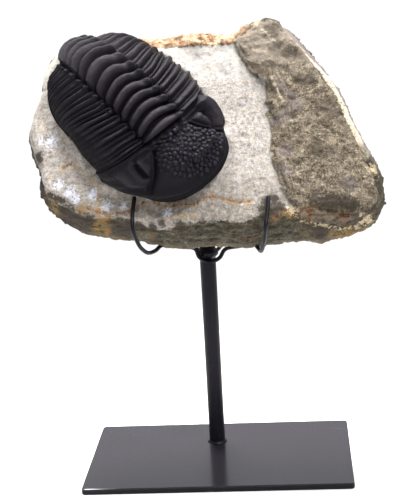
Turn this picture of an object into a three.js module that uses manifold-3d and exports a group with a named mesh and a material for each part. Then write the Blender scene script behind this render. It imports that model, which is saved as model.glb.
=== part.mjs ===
// A trilobite fossil on its slab of matrix stone, held by two bent wires on a steel post and base plate.
// Millimetres, +Z up, origin at the middle of the base plate's underside, -Y to the front.
import * as THREE from 'three';
import { mergeVertices } from 'three/addons/utils/BufferGeometryUtils.js';
import Module from 'manifold-3d';

const wasm = await Module();
wasm.setup();

// Driving dimensions of the stand
const plate = { length: 130, depth: 80, thickness: 3, corner: 2, bevel: 0.4 };
const post = { x: -2.5, y: 15.7, radius: 4, top: 107, chamfer: 0.6, sides: 20 };
const weld = { radius: 5.2, height: 1.4, shoulder: 0.4, shoulderHeight: 0.8 };
const wire = { radius: 1, sides: 8, gap: 0.3, hookSteps: 48, restSteps: 36 };

// Driving dimensions of the stone: a slab that leans back, with a raised plate of crust on its right
const slab = { lean: 30, centre: [0, 13.5, 164.5], back: -17, face: 14.5, around: 66 };
const crust = { root: 11, top: 17.8, around: 40 };

// Driving dimensions of the fossil, in its own frame: u to the head, v to the right side, w up from the stone
const body = {
  place: [-31.8, 0.5, 15.1],
  heading: -48.7,
  roll: 8.7,
  crestLength: 36.3,
  halfWidth: [28.7, 32.5, 30.4],
  height: [32.1, 22.1, 32.6],
  endTilt: [-80.4, 72.1],
  under: -3,
  skirtInset: 2.2,
  rows: 78,
  columns: 27,
};
const fit = { gap: 0.35, rows: 26, columns: 27, swell: 2 };

// Materials
const colours = { stand: 0x1d1d1f, stone: 0xb9ad9b, fossil: 0x29282a };
const finish = (color, roughness, metalness) =>
  new THREE.MeshStandardMaterial({ color, roughness, metalness });
const standPaint = () => finish(colours.stand, 0.38, 0.6);

// Small helpers
const clamp = (x, low, high) => Math.min(Math.max(x, low), high);
const smooth = (x, from, to) => {
  const t = clamp((x - from) / (to - from), 0, 1);
  return t * t * (3 - 2 * t);
};
const bell = (x, middle, width) => Math.exp(-(((x - middle) / width) ** 2));
const dome = (x) => Math.sqrt(clamp(1 - x * x, 0, 1));
const through = (t, [start, middle, end]) =>
  start * (1 - t) * (1 - 2 * t) + 4 * middle * t * (1 - t) + end * t * (2 * t - 1);
const steps = (x, table) => {
  const next = table.findIndex(([at]) => x < at);
  if (next === 0) return table[0][1];
  if (next < 0) return table.at(-1)[1];
  const [[x0, y0], [x1, y1]] = [table[next - 1], table[next]];
  return y0 + ((y1 - y0) * (x - x0)) / (x1 - x0);
};

const closedMesh = (points, triangles) => {
  const geometry = new THREE.BufferGeometry();
  geometry.setAttribute('position', new THREE.Float32BufferAttribute(points.flat(), 3));
  geometry.setIndex(triangles.flat());
  return geometry;
};

const toSolid = (geometry) => {
  const bare = geometry.clone();
  bare.deleteAttribute('normal');
  bare.deleteAttribute('uv');
  const merged = mergeVertices(bare, 1e-4);
  return new wasm.Manifold(new wasm.Mesh({
    numProp: 3,
    vertProperties: new Float32Array(merged.attributes.position.array),
    triVerts: new Uint32Array(merged.index.array),
  }));
};

const toGeometry = (solid) => {
  const mesh = solid.getMesh();
  const geometry = new THREE.BufferGeometry();
  geometry.setAttribute('position', new THREE.BufferAttribute(new Float32Array(mesh.vertProperties), 3));
  geometry.setIndex(new THREE.BufferAttribute(new Uint32Array(mesh.triVerts), 1));
  return geometry;
};

const named = (name, geometry, material) => {
  geometry.computeVertexNormals();
  const mesh = new THREE.Mesh(geometry, material);
  mesh.name = name;
  return mesh;
};

// Stack of closed rings joined wall by wall, with its first and last ring closed by a fan to a middle point
const stackRings = (rings, firstMiddle, lastMiddle) => {
  const count = rings[0].length;
  const points = [...rings.flat(), firstMiddle, lastMiddle];
  const first = rings.length * count;
  const triangles = [];
  for (let j = 0; j < count; j += 1) {
    const k = (j + 1) % count;
    for (let i = 0; i + 1 < rings.length; i += 1) {
      const low = i * count;
      const high = low + count;
      triangles.push([low + j, low + k, high + k], [low + j, high + k, high + j]);
    }
    const last = (rings.length - 1) * count;
    triangles.push([first, k, j], [first + 1, last + j, last + k]);
  }
  return closedMesh(points, triangles);
};

// Base plate
function makeBasePlate() {
  const { length, depth, thickness, corner, bevel } = plate;
  const x = length / 2 - bevel;
  const y = depth / 2 - bevel;
  const shape = new THREE.Shape();
  shape.moveTo(-x + corner, -y);
  shape.lineTo(x - corner, -y);
  shape.absarc(x - corner, -y + corner, corner, -Math.PI / 2, 0);
  shape.lineTo(x, y - corner);
  shape.absarc(x - corner, y - corner, corner, 0, Math.PI / 2);
  shape.lineTo(-x + corner, y);
  shape.absarc(-x + corner, y - corner, corner, Math.PI / 2, Math.PI);
  shape.lineTo(-x, -y + corner);
  shape.absarc(-x + corner, -y + corner, corner, Math.PI, Math.PI * 1.5);
  const geometry = new THREE.ExtrudeGeometry(shape, {
    depth: thickness - 2 * bevel,
    bevelThickness: bevel,
    bevelSize: bevel,
    bevelSegments: 1,
    curveSegments: 3,
  });
  geometry.translate(0, 0, bevel);
  return named('base_plate', geometry, standPaint());
}

// Round post with the weld bead at its foot
function makePost() {
  const { radius, top, chamfer, sides } = post;
  const height = top - plate.thickness;
  const profile = [
    [0, 0],
    [weld.radius, 0],
    [weld.radius - weld.shoulder, weld.shoulderHeight],
    [radius, weld.height],
    [radius, height - chamfer],
    [radius - chamfer, height],
    [0, height],
  ].map(([x, y]) => new THREE.Vector2(x, y));
  const geometry = new THREE.LatheGeometry(profile, sides);
  geometry.rotateX(Math.PI / 2);
  const mesh = named('post', geometry, standPaint());
  mesh.position.set(post.x, post.y, plate.thickness);
  return mesh;
}

// Bent wires: a route of hand-set points, swept with a round section
const frontY = post.y - post.radius - wire.gap - wire.radius;
const rearY = post.y + post.radius + wire.gap + wire.radius;

const hookRoute = [
  [-32.4, -20.3, 140.4],
  [-33.5, -24.2, 132.5],
  [-33.4, -27, 126],
  [-32.4, -22.3, 119.4],
  [-31.3, -18, 115.1],
  [-28.9, -12, 111.1],
  [-26.2, -5, 110.2],
  [-23.2, 3.4, 110.8],
  [-17.1, 7, 109.1],
  [-8.1, frontY, 106.6],
  [-6.2, frontY, 102.3],
  [-1.6, frontY, 99.8],
  [3.6, frontY, 101.6],
  [6.6, frontY, 105.8],
  [14.2, 7, 108.1],
  [20.6, 2.8, 110.4],
  [23.3, -5, 109.8],
  [24.9, -12, 110],
  [26.4, -19, 115.1],
  [27.4, -25, 121.3],
  [27.9, -28, 125.8],
  [28.7, -25.4, 130.3],
  [29.7, -20.7, 138.4],
];

const restRoute = [
  [-22, 35.3, 165.8],
  [-20.5, 32.3, 160.6],
  [-17.5, 28.3, 153.7],
  [-14, 24.4, 146.8],
  [-11.4, rearY + 0.2, 138],
  [-10.8, rearY, 126],
  [-10.6, rearY, 112],
  [-8.4, rearY, 104.4],
  [-2.5, rearY, 101.2],
  [3.4, rearY, 104.4],
  [5.6, rearY, 112],
  [5.8, rearY, 126],
  [6.6, rearY + 0.2, 138],
  [10, 24.4, 146.8],
  [15.5, 28.3, 153.7],
  [20, 32.3, 160.6],
  [22, 35.3, 165.8],
];

const curveThrough = (points, closed) =>
  new THREE.CatmullRomCurve3(points.map((point) => new THREE.Vector3(...point)), closed, 'centripetal');

function wireGeometry(route, lengthSteps, radius) {
  const path = curveThrough(route, false);
  const section = new THREE.Shape();
  for (let i = 0; i < wire.sides; i += 1) {
    const angle = (i / wire.sides) * Math.PI * 2;
    const corner = [Math.cos(angle) * radius, Math.sin(angle) * radius];
    if (i === 0) section.moveTo(...corner);
    else section.lineTo(...corner);
  }
  section.closePath();
  return new THREE.ExtrudeGeometry(section, { steps: lengthSteps, extrudePath: path, bevelEnabled: false });
}

const makeWire = (name, route, lengthSteps) =>
  named(name, wireGeometry(route, lengthSteps, wire.radius), standPaint());

// Matrix stone, in the slab's own frame: a to the right, b up the slab, n out of its face
const slabOutline = [
  [-80, 20], [-85, 4], [-86, -1], [-84.5, -9], [-81.5, -17], [-79.5, -20], [-80.5, -24], [-79.5, -31],
  [-76, -36.5], [-70.5, -40.5], [-65, -44.5], [-58, -47.5], [-47, -49], [-36, -51], [-28, -53], [-21, -55.5],
  [-7, -55.5], [6, -55], [15, -56.5], [31, -55], [48, -54], [55, -55], [63, -52.5], [72.5, -51], [79, -47],
  [83, -43], [84.5, -38], [84, -33], [82, -26], [78.7, -17], [74.8, -9], [70.4, 2], [66.8, 13], [60, 25],
  [53.8, 35], [49.3, 42], [44.2, 48.6], [39.6, 52.3], [36, 55], [31, 57], [28, 55.5], [22, 54], [20, 50.5],
  [8, 50], [-3.5, 51], [-16, 50], [-26, 48.5], [-36, 49.5], [-47, 49.5], [-58, 48.5], [-67, 46], [-73.5, 41],
  [-78, 34], [-79.8, 27],
];
const crustOutline = [
  [14.6, 41], [17, 34], [21, 25], [25.5, 20], [30, 19], [30, 10], [28.4, 5], [31.5, -3], [32, -10], [31, -18],
  [32.6, -25], [35, -32.5], [39.5, -42], [44, -47.5], [57, -50.5], [66, -52], [74, -49.5], [79.5, -45],
  [80, -40], [78.2, -31.5], [75, -23], [71, -14.8], [66.6, -3.6], [63.2, 7.2], [56.6, 19], [50, 29.5],
  [41, 42], [37, 49], [31, 51.5], [26, 49.5], [20, 45],
];

// How far in each level of the slab's wall stands, all round, and more at the leaning top and at the bottom
const slabLevels = [
  { n: -17, inset: 3.4, top: 1, bottom: 0.2 },
  { n: -14.5, inset: 1, top: 0, bottom: 0 },
  { n: -8, inset: 0, top: 0, bottom: 0.6 },
  { n: -2, inset: 0.2, top: 0.2, bottom: 1.4 },
  { n: 4, inset: 0.6, top: 1.2, bottom: 2 },
  { n: 9.5, inset: 1.6, top: 3.2, bottom: 3.2 },
  { n: 12.9, inset: 2.4, top: 5, bottom: 2.6 },
  { n: 14.5, inset: 4.4, top: 6.6, bottom: 2.6 },
];
const leaning = { from: 0.3, to: 0.9, squash: 0.85 };
const ledges = { depth: 0.9, alongStep: 5, upStep: 11 };
const faceRings = [0.8, 0.55, 0.28];
const lumpHeight = { face: 0.4, back: 0.8, crust: 0.7 };

// The crust's top, ring by ring: how far in from its edge, and how far below its full height
const crustRings = [[0.2, 2.4], [1.4, 0.7], [6, 0], [12, 0.2], [19, 0]];
const crustRipple = { height: 0.25, run: 4, settle: 0.6, middleDrop: 0.1 };

// Slow waves that make the stone uneven: height, run along a, run along b, and start
const waves = [[0.25, 6.1, 7.3, 0.9], [0.25, 6.1, -7.3, 1.7], [0.3, 3.3, -4.1, 0], [0.2, 9.1, 2.7, 2]];
const lumps = (a, b) => waves.reduce(
  (sum, [height, alongA, alongB, start]) => sum + height * Math.sin(a / alongA + b / alongB + start), 0);

const aroundOutline = (outline, count) =>
  curveThrough(outline.map(([a, b]) => [a, b, 0]), true).getSpacedPoints(count).slice(0, count);

const drawnIn = (point, inset) => {
  const scale = 1 - inset / Math.hypot(point.x, point.y);
  return [point.x * scale, point.y * scale];
};

// The matrix rises in a bank against the fossil's left flank
const mound = { height: 5, start: 30, reach: 7, under: -12, along: -4, length: 26 };
const bank = (a, b) => {
  const heading = THREE.MathUtils.degToRad(body.heading);
  const [da, db] = [a - body.place[0], b - body.place[1]];
  const side = da * Math.sin(heading) - db * Math.cos(heading);
  const along = da * Math.cos(heading) + db * Math.sin(heading);
  const out = Math.max(side - mound.start, 0);
  const onFlank = side > 0 ? bell(out, 0, mound.reach) : smooth(side, mound.under, 0);
  return mound.height * onFlank * bell(along, mound.along, mound.length);
};

function slabSolid() {
  const around = aroundOutline(slabOutline, slab.around);
  const wall = slabLevels.map(({ n, inset, top, bottom }, level) => around.map((point) => {
    const { from, to, squash } = leaning;
    const slope = point.y / Math.hypot(point.x * squash, point.y);
    const ledge = ledges.depth * Math.abs(lumps(point.x + level * ledges.alongStep, level * ledges.upStep));
    const extra = top * smooth(slope, from, to) + bottom * smooth(-slope, from, to);
    return [...drawnIn(point, inset + ledge + extra), n];
  }));
  const cap = (edge, height) => faceRings.map((scale) => edge.map(([a, b]) => {
    const [x, y] = [a * scale, b * scale];
    return [x, y, height(x, y)];
  }));
  const faceHeight = (a, b) => slab.face + bank(a, b) - lumpHeight.face * (1 - lumps(a, b));
  const backHeight = (a, b) => slab.back + lumpHeight.back * (1 + lumps(a, b));
  const back = cap(wall[0], backHeight).reverse();
  const face = cap(wall.at(-1), faceHeight);
  return toSolid(stackRings([...back, ...wall, ...face], [0, 0, backHeight(0, 0)], [0, 0, faceHeight(0, 0)]));
}

function crustSolid() {
  const around = aroundOutline(crustOutline, crust.around);
  const total = around.reduce((sum, point) => sum.add(point), new THREE.Vector3());
  const middle = total.divideScalar(crust.around);
  const ring = (inset, heightAt) => around.map((point) => {
    const [da, db] = drawnIn(point.clone().sub(middle), inset);
    const [a, b] = [middle.x + da, middle.y + db];
    return [a, b, heightAt(a, b)];
  });
  const { height, run, settle, middleDrop } = crustRipple;
  const ridges = (a, b) => lumpHeight.crust * (lumps(a, b) - settle + Math.sin((a + b) / run) * height);
  const ridged = (drop) => (a, b) => crust.top - drop + ridges(a, b);
  const rings = [ring(0, () => crust.root), ...crustRings.map(([inset, drop]) => ring(inset, ridged(drop)))];
  const top = [middle.x, middle.y, ridged(middleDrop)(middle.x, middle.y)];
  return toSolid(stackRings(rings, [middle.x, middle.y, crust.root], top));
}

// Fossil: position along the body is s, from 0 at the tail margin to 1 at the head's front;
// angle across it is from -90 at the left margin over 0 on the crest to 90 at the right margin
const head = 0.725;
const furrow = 19.9;
const swept = { from: 20, over: 40, bend: 1.6, reach: 0.15, ahead: 0.27, most: 0.75 };
const thorax = { least: 0.45, leastAt: -0.02, fullAt: 0.16 };
const axialRing = { arch: 3.4, height: 2.7, round: 0.7, drop: 1.1, atFurrow: 0.3 };
const rib = { round: 0.7, second: 0.7, drop: 0.4, start: 3, fadeFrom: 55, fadeTo: 80 };
const lobe = { height: 1.4, round: 0.8 };
const trough = { depth: 1.1, width: 2.6 };
const nape = { depth: 1.3, width: 0.007 };
const occipital = { end: 0.768, arch: 3.2, rise: 1.6, round: 0.6 };
const glabella = {
  halfWidths: [[0.77, 16], [0.84, 26], [0.9, 36], [0.945, 44], [0.98, 49], [1, 50]],
  rise: 2.2,
  swell: 2.2,
  fullAt: 0.86,
  round: 0.7,
  frontFrom: 0.955,
  frontDrop: 0.75,
};
const sideGroove = { from: 0.76, depth: 0.9, away: 1.5, width: 4, fadeFrom: 0.94, fadeTo: 0.985 };
const eye = { s: 0.845, angle: 45, length: 0.062, width: 10.5, turn: 60, height: 3.8, fade: 0.75 };
const cheek = { height: 1, fadeFrom: 0.93 };
const rearGroove = { s: 0.762, depth: 0.9, width: 0.008, from: 18, full: 22, fadeFrom: 62, fadeTo: 78 };
const marginFrom = 72;
const leftFlare = { depth: 1, from: -50, to: -85, s: 0.87, width: 0.06 };
const frontTuck = { depth: 1.2, from: 0.96, rightShare: 0.7, rightFrom: -20, rightTo: 30 };
const frontSkirt = { from: 4, to: 16, extra: 0.7 };

// Where the cracks between the rings cross the crest, and how far they sweep forward to the furrows
const cracks = [0.01, 0.035, 0.062, 0.09, 0.136, 0.196, 0.24, 0.318, 0.386, 0.441, 0.503, 0.557, 0.613, 0.67];
const crackCounts = [...cracks, head].map((s, i) => [s, cracks.length - i]);
const forward = { size: 0.031, fullAt: 0.05, fadeFrom: 0.68 };
const ringCount = (s) => steps(s, crackCounts);

const sweptForward = (s, angle) => {
  const span = smooth(s, 0, forward.fullAt) * (1 - smooth(s, forward.fadeFrom, head));
  return s + forward.size * span * Math.min(angle / furrow, 1) ** 2;
};

const sweepBack = (s, angle) => {
  const outward = clamp((angle - swept.from) / swept.over, 0, 2) ** swept.bend;
  const ahead = clamp((head - s) / swept.ahead, 0, 1);
  return Math.min(swept.reach * outward * ahead, swept.most * clamp(s, 0, 1));
};

function thoraxRelief(s, angle) {
  const full = thorax.least + (1 - thorax.least) * smooth(s, thorax.leastAt, thorax.fullAt);
  const turn = ringCount(s) % 1;
  const cap = dome(angle / furrow);
  const { arch, height, round, drop, atFurrow } = axialRing;
  const roll = height * Math.abs(Math.sin(Math.PI * turn)) ** round - drop;
  const rolled = angle < furrow ? roll * (atFurrow + (1 - atFurrow) * cap) : 0;
  const share = turn < 0.5 ? 1 : rib.second;
  const ridge = share * Math.abs(Math.sin(2 * Math.PI * turn)) ** rib.round - rib.drop;
  const outward = clamp((angle - furrow) / (90 - furrow), 0, 1);
  const arched = lobe.height * Math.sin(Math.PI * outward) ** lobe.round;
  const ribbed = ridge * (1 - smooth(angle, rib.fadeFrom, rib.fadeTo)) * full;
  const flank = smooth(angle, furrow, furrow + rib.start) * (arched + ribbed);
  return (arch * cap + rolled - trough.depth * bell(angle, furrow, trough.width)) * full + flank;
}

function glabellaRelief(s, angle, half) {
  const { rise, swell, fullAt, round, frontFrom, frontDrop } = glabella;
  const full = rise + swell * smooth(s, occipital.end, fullAt);
  return full * clamp(1 - (angle / half) ** 2, 0, 1) ** round * (1 - frontDrop * smooth(s, frontFrom, 1));
}

function headRelief(s, angle) {
  const half = steps(s, glabella.halfWidths);
  const behind = clamp((s - head) / (occipital.end - head), 0, 1);
  const ring = occipital.arch + occipital.rise * Math.sin(Math.PI * behind) ** occipital.round;
  const { depth, away, width, fadeFrom, fadeTo } = sideGroove;
  const grooved = s > sideGroove.from ? depth * (1 - smooth(s, fadeFrom, fadeTo)) : 0;
  const groove = grooved * bell(angle, half + away, width);
  const eyeAngle = eye.angle + eye.turn * (s - eye.s);
  const eyeReach = Math.hypot((s - eye.s) / eye.length, (angle - eyeAngle) / eye.width);
  const cheekAngle = clamp((angle - half) / (90 - half), 0, 1);
  const cheekRise = cheek.height * Math.sin(Math.PI * cheekAngle) * (1 - smooth(s, cheek.fadeFrom, 1));
  const rearSpan = smooth(angle, rearGroove.from, rearGroove.full)
    * (1 - smooth(angle, rearGroove.fadeFrom, rearGroove.fadeTo));
  const rearDepth = rearGroove.depth * bell(s, rearGroove.s, rearGroove.width) * rearSpan;
  const crown = s < occipital.end ? ring * dome(angle / furrow) : glabellaRelief(s, angle, half);
  return crown - groove + eye.height * bell(eyeReach, 0, eye.fade) + cheekRise - rearDepth;
}

function fossilRelief(s, degrees) {
  const angle = Math.abs(degrees);
  const margin = 1 - smooth(angle, marginFrom, 90);
  const behind = nape.depth * bell(s, head, nape.width);
  const { depth, from, rightShare, rightFrom, rightTo } = frontTuck;
  const tuck = depth * smooth(s, from, 1) * (1 - rightShare * smooth(degrees, rightFrom, rightTo));
  const flare = leftFlare.depth * smooth(-degrees, -leftFlare.from, -leftFlare.to);
  const skin = s < head ? thoraxRelief(s, angle) : headRelief(s, angle);
  return (skin - behind) * margin - tuck + flare * bell(s, leftFlare.s, leftFlare.width);
}

function fossilPoint(row, degrees, rise) {
  const angle = Math.abs(degrees);
  const s = sweptForward(row, angle);
  const at = s - sweepBack(s, angle);
  const phi = THREE.MathUtils.degToRad(degrees);
  const tilt = THREE.MathUtils.degToRad(THREE.MathUtils.lerp(...body.endTilt, at));
  const up = (through(at, body.height) + rise) * Math.cos(phi);
  const u = body.crestLength * (at - 0.5) + up * Math.sin(tilt);
  return [u, (through(at, body.halfWidth) + rise) * Math.sin(phi), up * Math.cos(tilt)];
}

// A closed body: the arched skin, a skirt drawn in under its margin, and a flat underside
function fossilGeometry(rows, columns, under, riseAt, skirtInset) {
  const points = [];
  const triangles = [];
  const width = columns + 1;
  for (let i = 0; i <= rows; i += 1) {
    for (let j = 0; j <= columns; j += 1) {
      const s = i / rows;
      const degrees = -90 + (180 * j) / columns;
      points.push(fossilPoint(s, degrees, riseAt(s, degrees)));
    }
  }
  for (let i = 0; i < rows; i += 1) {
    for (let j = 0; j < columns; j += 1) {
      const k = i * width + j;
      triangles.push([k, k + width, k + width + 1], [k, k + width + 1, k + 1]);
    }
  }
  const rim = [];
  for (let j = 0; j < columns; j += 1) rim.push(j);
  for (let i = 0; i < rows; i += 1) rim.push(i * width + columns);
  for (let j = columns; j > 0; j -= 1) rim.push(rows * width + j);
  for (let i = rows; i > 0; i -= 1) rim.push(i * width);
  const foot = points.length;
  rim.forEach((k) => {
    const [u, v] = points[k];
    const inset = skirtInset * (1 + frontSkirt.extra * smooth(u, frontSkirt.from, frontSkirt.to));
    const scale = 1 - inset / Math.hypot(u, v);
    points.push([u * scale, v * scale, under]);
  });
  const middle = points.push([0, 0, under]) - 1;
  rim.forEach((k, i) => {
    const next = (i + 1) % rim.length;
    triangles.push([k, rim[next], foot + i], [rim[next], foot + next, foot + i]);
    triangles.push([foot + i, foot + next, middle]);
  });
  return closedMesh(points, triangles);
}

function fossilFrame() {
  const heading = THREE.MathUtils.degToRad(body.heading);
  const roll = THREE.MathUtils.degToRad(body.roll);
  const u = new THREE.Vector3(Math.cos(heading), Math.sin(heading), 0);
  const flat = new THREE.Vector3(-Math.sin(heading), Math.cos(heading), 0);
  const v = flat.clone().multiplyScalar(Math.cos(roll)).setZ(-Math.sin(roll));
  const w = flat.clone().multiplyScalar(Math.sin(roll)).setZ(Math.cos(roll));
  return new THREE.Matrix4().makeBasis(u, v, w).setPosition(...body.place);
}

function makeRock() {
  const { gap, rows, columns, swell } = fit;
  const swelled = fossilGeometry(rows, columns, body.under - gap, () => swell, body.skirtInset - gap);
  swelled.applyMatrix4(fossilFrame());
  stone.updateMatrix();
  const channel = wireGeometry(hookRoute, wire.hookSteps, wire.radius + wire.gap);
  channel.applyMatrix4(stone.matrix.clone().invert());
  const solid = slabSolid().add(crustSolid()).subtract(toSolid(swelled)).subtract(toSolid(channel));
  return named('rock', toGeometry(solid), finish(colours.stone, 0.85, 0));
}

function makeFossil() {
  const geometry = fossilGeometry(body.rows, body.columns, body.under, fossilRelief, body.skirtInset);
  geometry.applyMatrix4(fossilFrame());
  return named('trilobite', geometry, finish(colours.fossil, 0.45, 0));
}

// Assembly
const stone = new THREE.Group();
stone.rotation.x = THREE.MathUtils.degToRad(90 - slab.lean);
stone.position.set(...slab.centre);
stone.add(makeRock(), makeFossil());

const trilobiteFossil = new THREE.Group();
trilobiteFossil.name = 'trilobite_fossil';
trilobiteFossil.add(
  makeBasePlate(),
  makePost(),
  makeWire('hook_wire', hookRoute, wire.hookSteps),
  makeWire('rest_wire', restRoute, wire.restSteps),
  stone,
);

export default trilobiteFossil;
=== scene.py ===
# Mounted trilobite fossil: the finished surfaces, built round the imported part.
# Metres in Blender, millimetres in the settings; +Z up, -Y to the front.
import math
from types import SimpleNamespace

import bpy
import numpy as np
from mathutils import Matrix, Vector
from mathutils.bvhtree import BVHTree


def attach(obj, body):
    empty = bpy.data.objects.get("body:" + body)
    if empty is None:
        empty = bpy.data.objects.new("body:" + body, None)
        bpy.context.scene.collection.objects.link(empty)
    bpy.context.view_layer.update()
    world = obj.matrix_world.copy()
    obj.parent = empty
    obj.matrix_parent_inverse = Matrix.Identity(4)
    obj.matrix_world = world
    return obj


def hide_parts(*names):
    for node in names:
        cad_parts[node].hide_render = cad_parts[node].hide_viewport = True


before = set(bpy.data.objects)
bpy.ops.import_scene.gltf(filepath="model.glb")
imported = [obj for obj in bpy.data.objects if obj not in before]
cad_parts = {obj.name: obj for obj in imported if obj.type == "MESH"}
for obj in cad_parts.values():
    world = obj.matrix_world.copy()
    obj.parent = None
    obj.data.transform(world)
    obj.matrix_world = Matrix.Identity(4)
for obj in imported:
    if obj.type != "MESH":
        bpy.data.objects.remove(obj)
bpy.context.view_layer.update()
mm = 0.001


# Shader and geometry node maths written as expressions
class Value:
    def __init__(self, tree, socket=None):
        self.tree = tree
        self.socket = socket

    def node(self, kind, settings=None, inputs=None, output=0):
        made = self.tree.nodes.new(kind)
        for name, setting in (settings or {}).items():
            if name == "stops":
                fillRamp(made.color_ramp, setting)
            else:
                setattr(made, name, setting)
        for key, given in (inputs or {}).items():
            if isinstance(given, Value):
                self.tree.links.new(given.socket, made.inputs[key])
            else:
                made.inputs[key].default_value = given
        return Value(self.tree, made.outputs[output])

    def math(self, operation, *values):
        return self.node("ShaderNodeMath", {"operation": operation}, dict(enumerate(values)))

    def __add__(self, other):
        return self.math("ADD", self, other)

    def __radd__(self, other):
        return self.math("ADD", other, self)

    def __sub__(self, other):
        return self.math("SUBTRACT", self, other)

    def __rsub__(self, other):
        return self.math("SUBTRACT", other, self)

    def __mul__(self, other):
        return self.math("MULTIPLY", self, other)

    def __rmul__(self, other):
        return self.math("MULTIPLY", other, self)

    def __truediv__(self, other):
        return self.math("DIVIDE", self, other)

    def __pow__(self, other):
        return self.math("POWER", self, other)

    def most(self, other):
        return self.math("MAXIMUM", self, other)

    def rising(self, low, high):  # 0 below low, 1 above high, smooth between
        inputs = {"Value": self, "From Min": low, "From Max": high}
        return self.node("ShaderNodeMapRange", {"interpolation_type": "SMOOTHSTEP"}, inputs)

    def noise(self, size, detail=4.0, roughness=0.55, distortion=0.0):
        inputs = {"Vector": self, "Scale": 1 / size, "Detail": detail, "Roughness": roughness,
                  "Distortion": distortion}
        return self.node("ShaderNodeTexNoise", {}, inputs)

    def cells(self, size):
        return self.node("ShaderNodeTexVoronoi", {}, {"Vector": self, "Scale": 1 / size})

    def part(self, axis):  # one coordinate of this vector
        return self.node("ShaderNodeSeparateXYZ", {}, {0: self}, axis)

    def stretched(self, longer, turn=(0, 0, 0)):  # a pattern's grain made longer along turned axes
        inputs = {"Vector": self, "Rotation": [math.radians(t) for t in turn], "Scale": longer}
        return self.node("ShaderNodeMapping", {"vector_type": "TEXTURE"}, inputs)

    def ramp(self, *stops):  # a colour for each value, blended between the stops
        return self.node("ShaderNodeValToRGB", {"stops": stops}, {"Fac": self})

    def blend(self, first, second):  # the first colour where this is 0, the second where it is 1
        return self.node("ShaderNodeMix", {"data_type": "RGBA"}, {0: self, 6: first, 7: second}, 2)

    def over(self, factor, colour):  # this colour, with another laid over it by factor
        return self.node("ShaderNodeMix", {"data_type": "RGBA"}, {0: factor, 6: self, 7: colour}, 2)


def fillRamp(ramp, stops):
    while len(ramp.elements) < len(stops):
        ramp.elements.new(0.5)
    for element, (place, colour) in zip(ramp.elements, stops):
        element.position = place
        element.color = colour


def tone(*screen):  # a screen colour, 0 to 255, as linear light
    parts = [c / 255 / 12.92 if c < 11 else ((c / 255 + 0.055) / 1.055) ** 2.4 for c in screen]
    return (*parts, 1.0)


def newMaterial(name):
    material = bpy.data.materials.new(name)
    material.use_nodes = True
    tree = material.node_tree
    shader = next(n for n in tree.nodes if n.type == "BSDF_PRINCIPLED")
    return material, shader, Value(tree).node("ShaderNodeTexCoord", output=3)


def readLayer(start, name):
    return start.node("ShaderNodeAttribute", {"attribute_name": name}, {}, 2)


def finishMaterial(shader, colour, roughness, height, depth, strength):
    tree = shader.id_data
    bump = height.node("ShaderNodeBump", {}, {"Height": height, "Distance": depth, "Strength": strength})
    tree.links.new(colour.socket, shader.inputs["Base Color"])
    tree.links.new(roughness.socket, shader.inputs["Roughness"])
    tree.links.new(bump.socket, shader.inputs["Normal"])


# Soft random fields on points, the same on every run
def cellHash(cells, seed):
    x, y, z = cells[..., 0], cells[..., 1], cells[..., 2]
    mixed = (x * 73856093) ^ (y * 19349663) ^ (z * 83492791) ^ (seed * 374761393)
    mixed = (mixed ^ (mixed >> 13)) * 1274126177
    return ((mixed ^ (mixed >> 16)) & 0xFFFFFF) / 0xFFFFFF


def softNoise(points, seed):
    base = np.floor(points).astype(np.int64)
    part = points - base
    part = part * part * (3 - 2 * part)
    total = np.zeros(len(points))
    for corner in range(8):
        step = np.array([corner & 1, corner >> 1 & 1, corner >> 2 & 1])
        weight = np.prod(np.where(step == 1, part, 1 - part), axis=1)
        total += weight * cellHash(base + step, seed)
    return total * 2 - 1


def layeredNoise(points, size, octaves, seed, gain=0.5):
    total = np.zeros(len(points))
    strength = 1.0
    for octave in range(octaves):
        total += strength * softNoise(points / size * 2 ** octave + 17.3 * octave, seed + octave)
        strength *= gain
    return total


def chippedNoise(points, size, seed):  # flat tilted facets with steps between them
    scaled = points / size
    base = np.floor(scaled).astype(np.int64)
    nearest = np.full(len(points), 9.0)
    tilt = np.zeros(len(points))
    for i in range(27):
        cell = base + np.array([i % 3 - 1, i // 3 % 3 - 1, i // 9 - 1])
        away = scaled - cell - np.stack([cellHash(cell, seed + k) for k in range(3)], 1)
        distance = np.linalg.norm(away, axis=1)
        lean = np.stack([cellHash(cell, seed + 3 + k) for k in range(3)], 1) - 0.5
        height = (away * lean).sum(1) * 1.6 + (cellHash(cell, seed + 7) - 0.5) * 0.9
        closer = distance < nearest
        tilt = np.where(closer, height, tilt)
        nearest = np.where(closer, distance, nearest)
    return tilt


def smooth(x, low, high):
    t = np.clip((x - low) / (high - low), 0, 1)
    return t * t * (3 - 2 * t)


def bell(x, middle, width):
    return np.exp(-(((x - middle) / width) ** 2))


def meshObject(name, points, faces, material, isSmooth=True):
    mesh = bpy.data.meshes.new(name)
    mesh.from_pydata([tuple(p) for p in points], [], [tuple(f) for f in faces])
    mesh.polygons.foreach_set("use_smooth", [isSmooth] * len(mesh.polygons))
    mesh.materials.append(material)
    mesh.update()
    piece = bpy.data.objects.new(name, mesh)
    bpy.context.scene.collection.objects.link(piece)
    return piece


def gridQuads(rows, columns):
    index = np.arange(rows * columns).reshape(rows, columns)
    return np.stack([index[:-1, :-1], index[1:, :-1], index[1:, 1:], index[:-1, 1:]], -1).reshape(-1, 4)


def writeLayer(mesh, name, values):
    layer = mesh.attributes.new(name, "FLOAT", "POINT")
    layer.data.foreach_set("value", values)


def finishPiece(piece, slot, *nodes):
    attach(piece, "root")
    if nodes:
        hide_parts(*nodes)


# Camera at the photo's angle
camera = {
    "focalPixels": 1290,
    "longSidePixels": 500,
    "sensor": 36.0,
    "azimuth": 4.15,
    "elevation": 14.0,
    "roll": -3.1,
    "distance": 624,
    "target": (-2.5, 0, 108.5),
}


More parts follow.
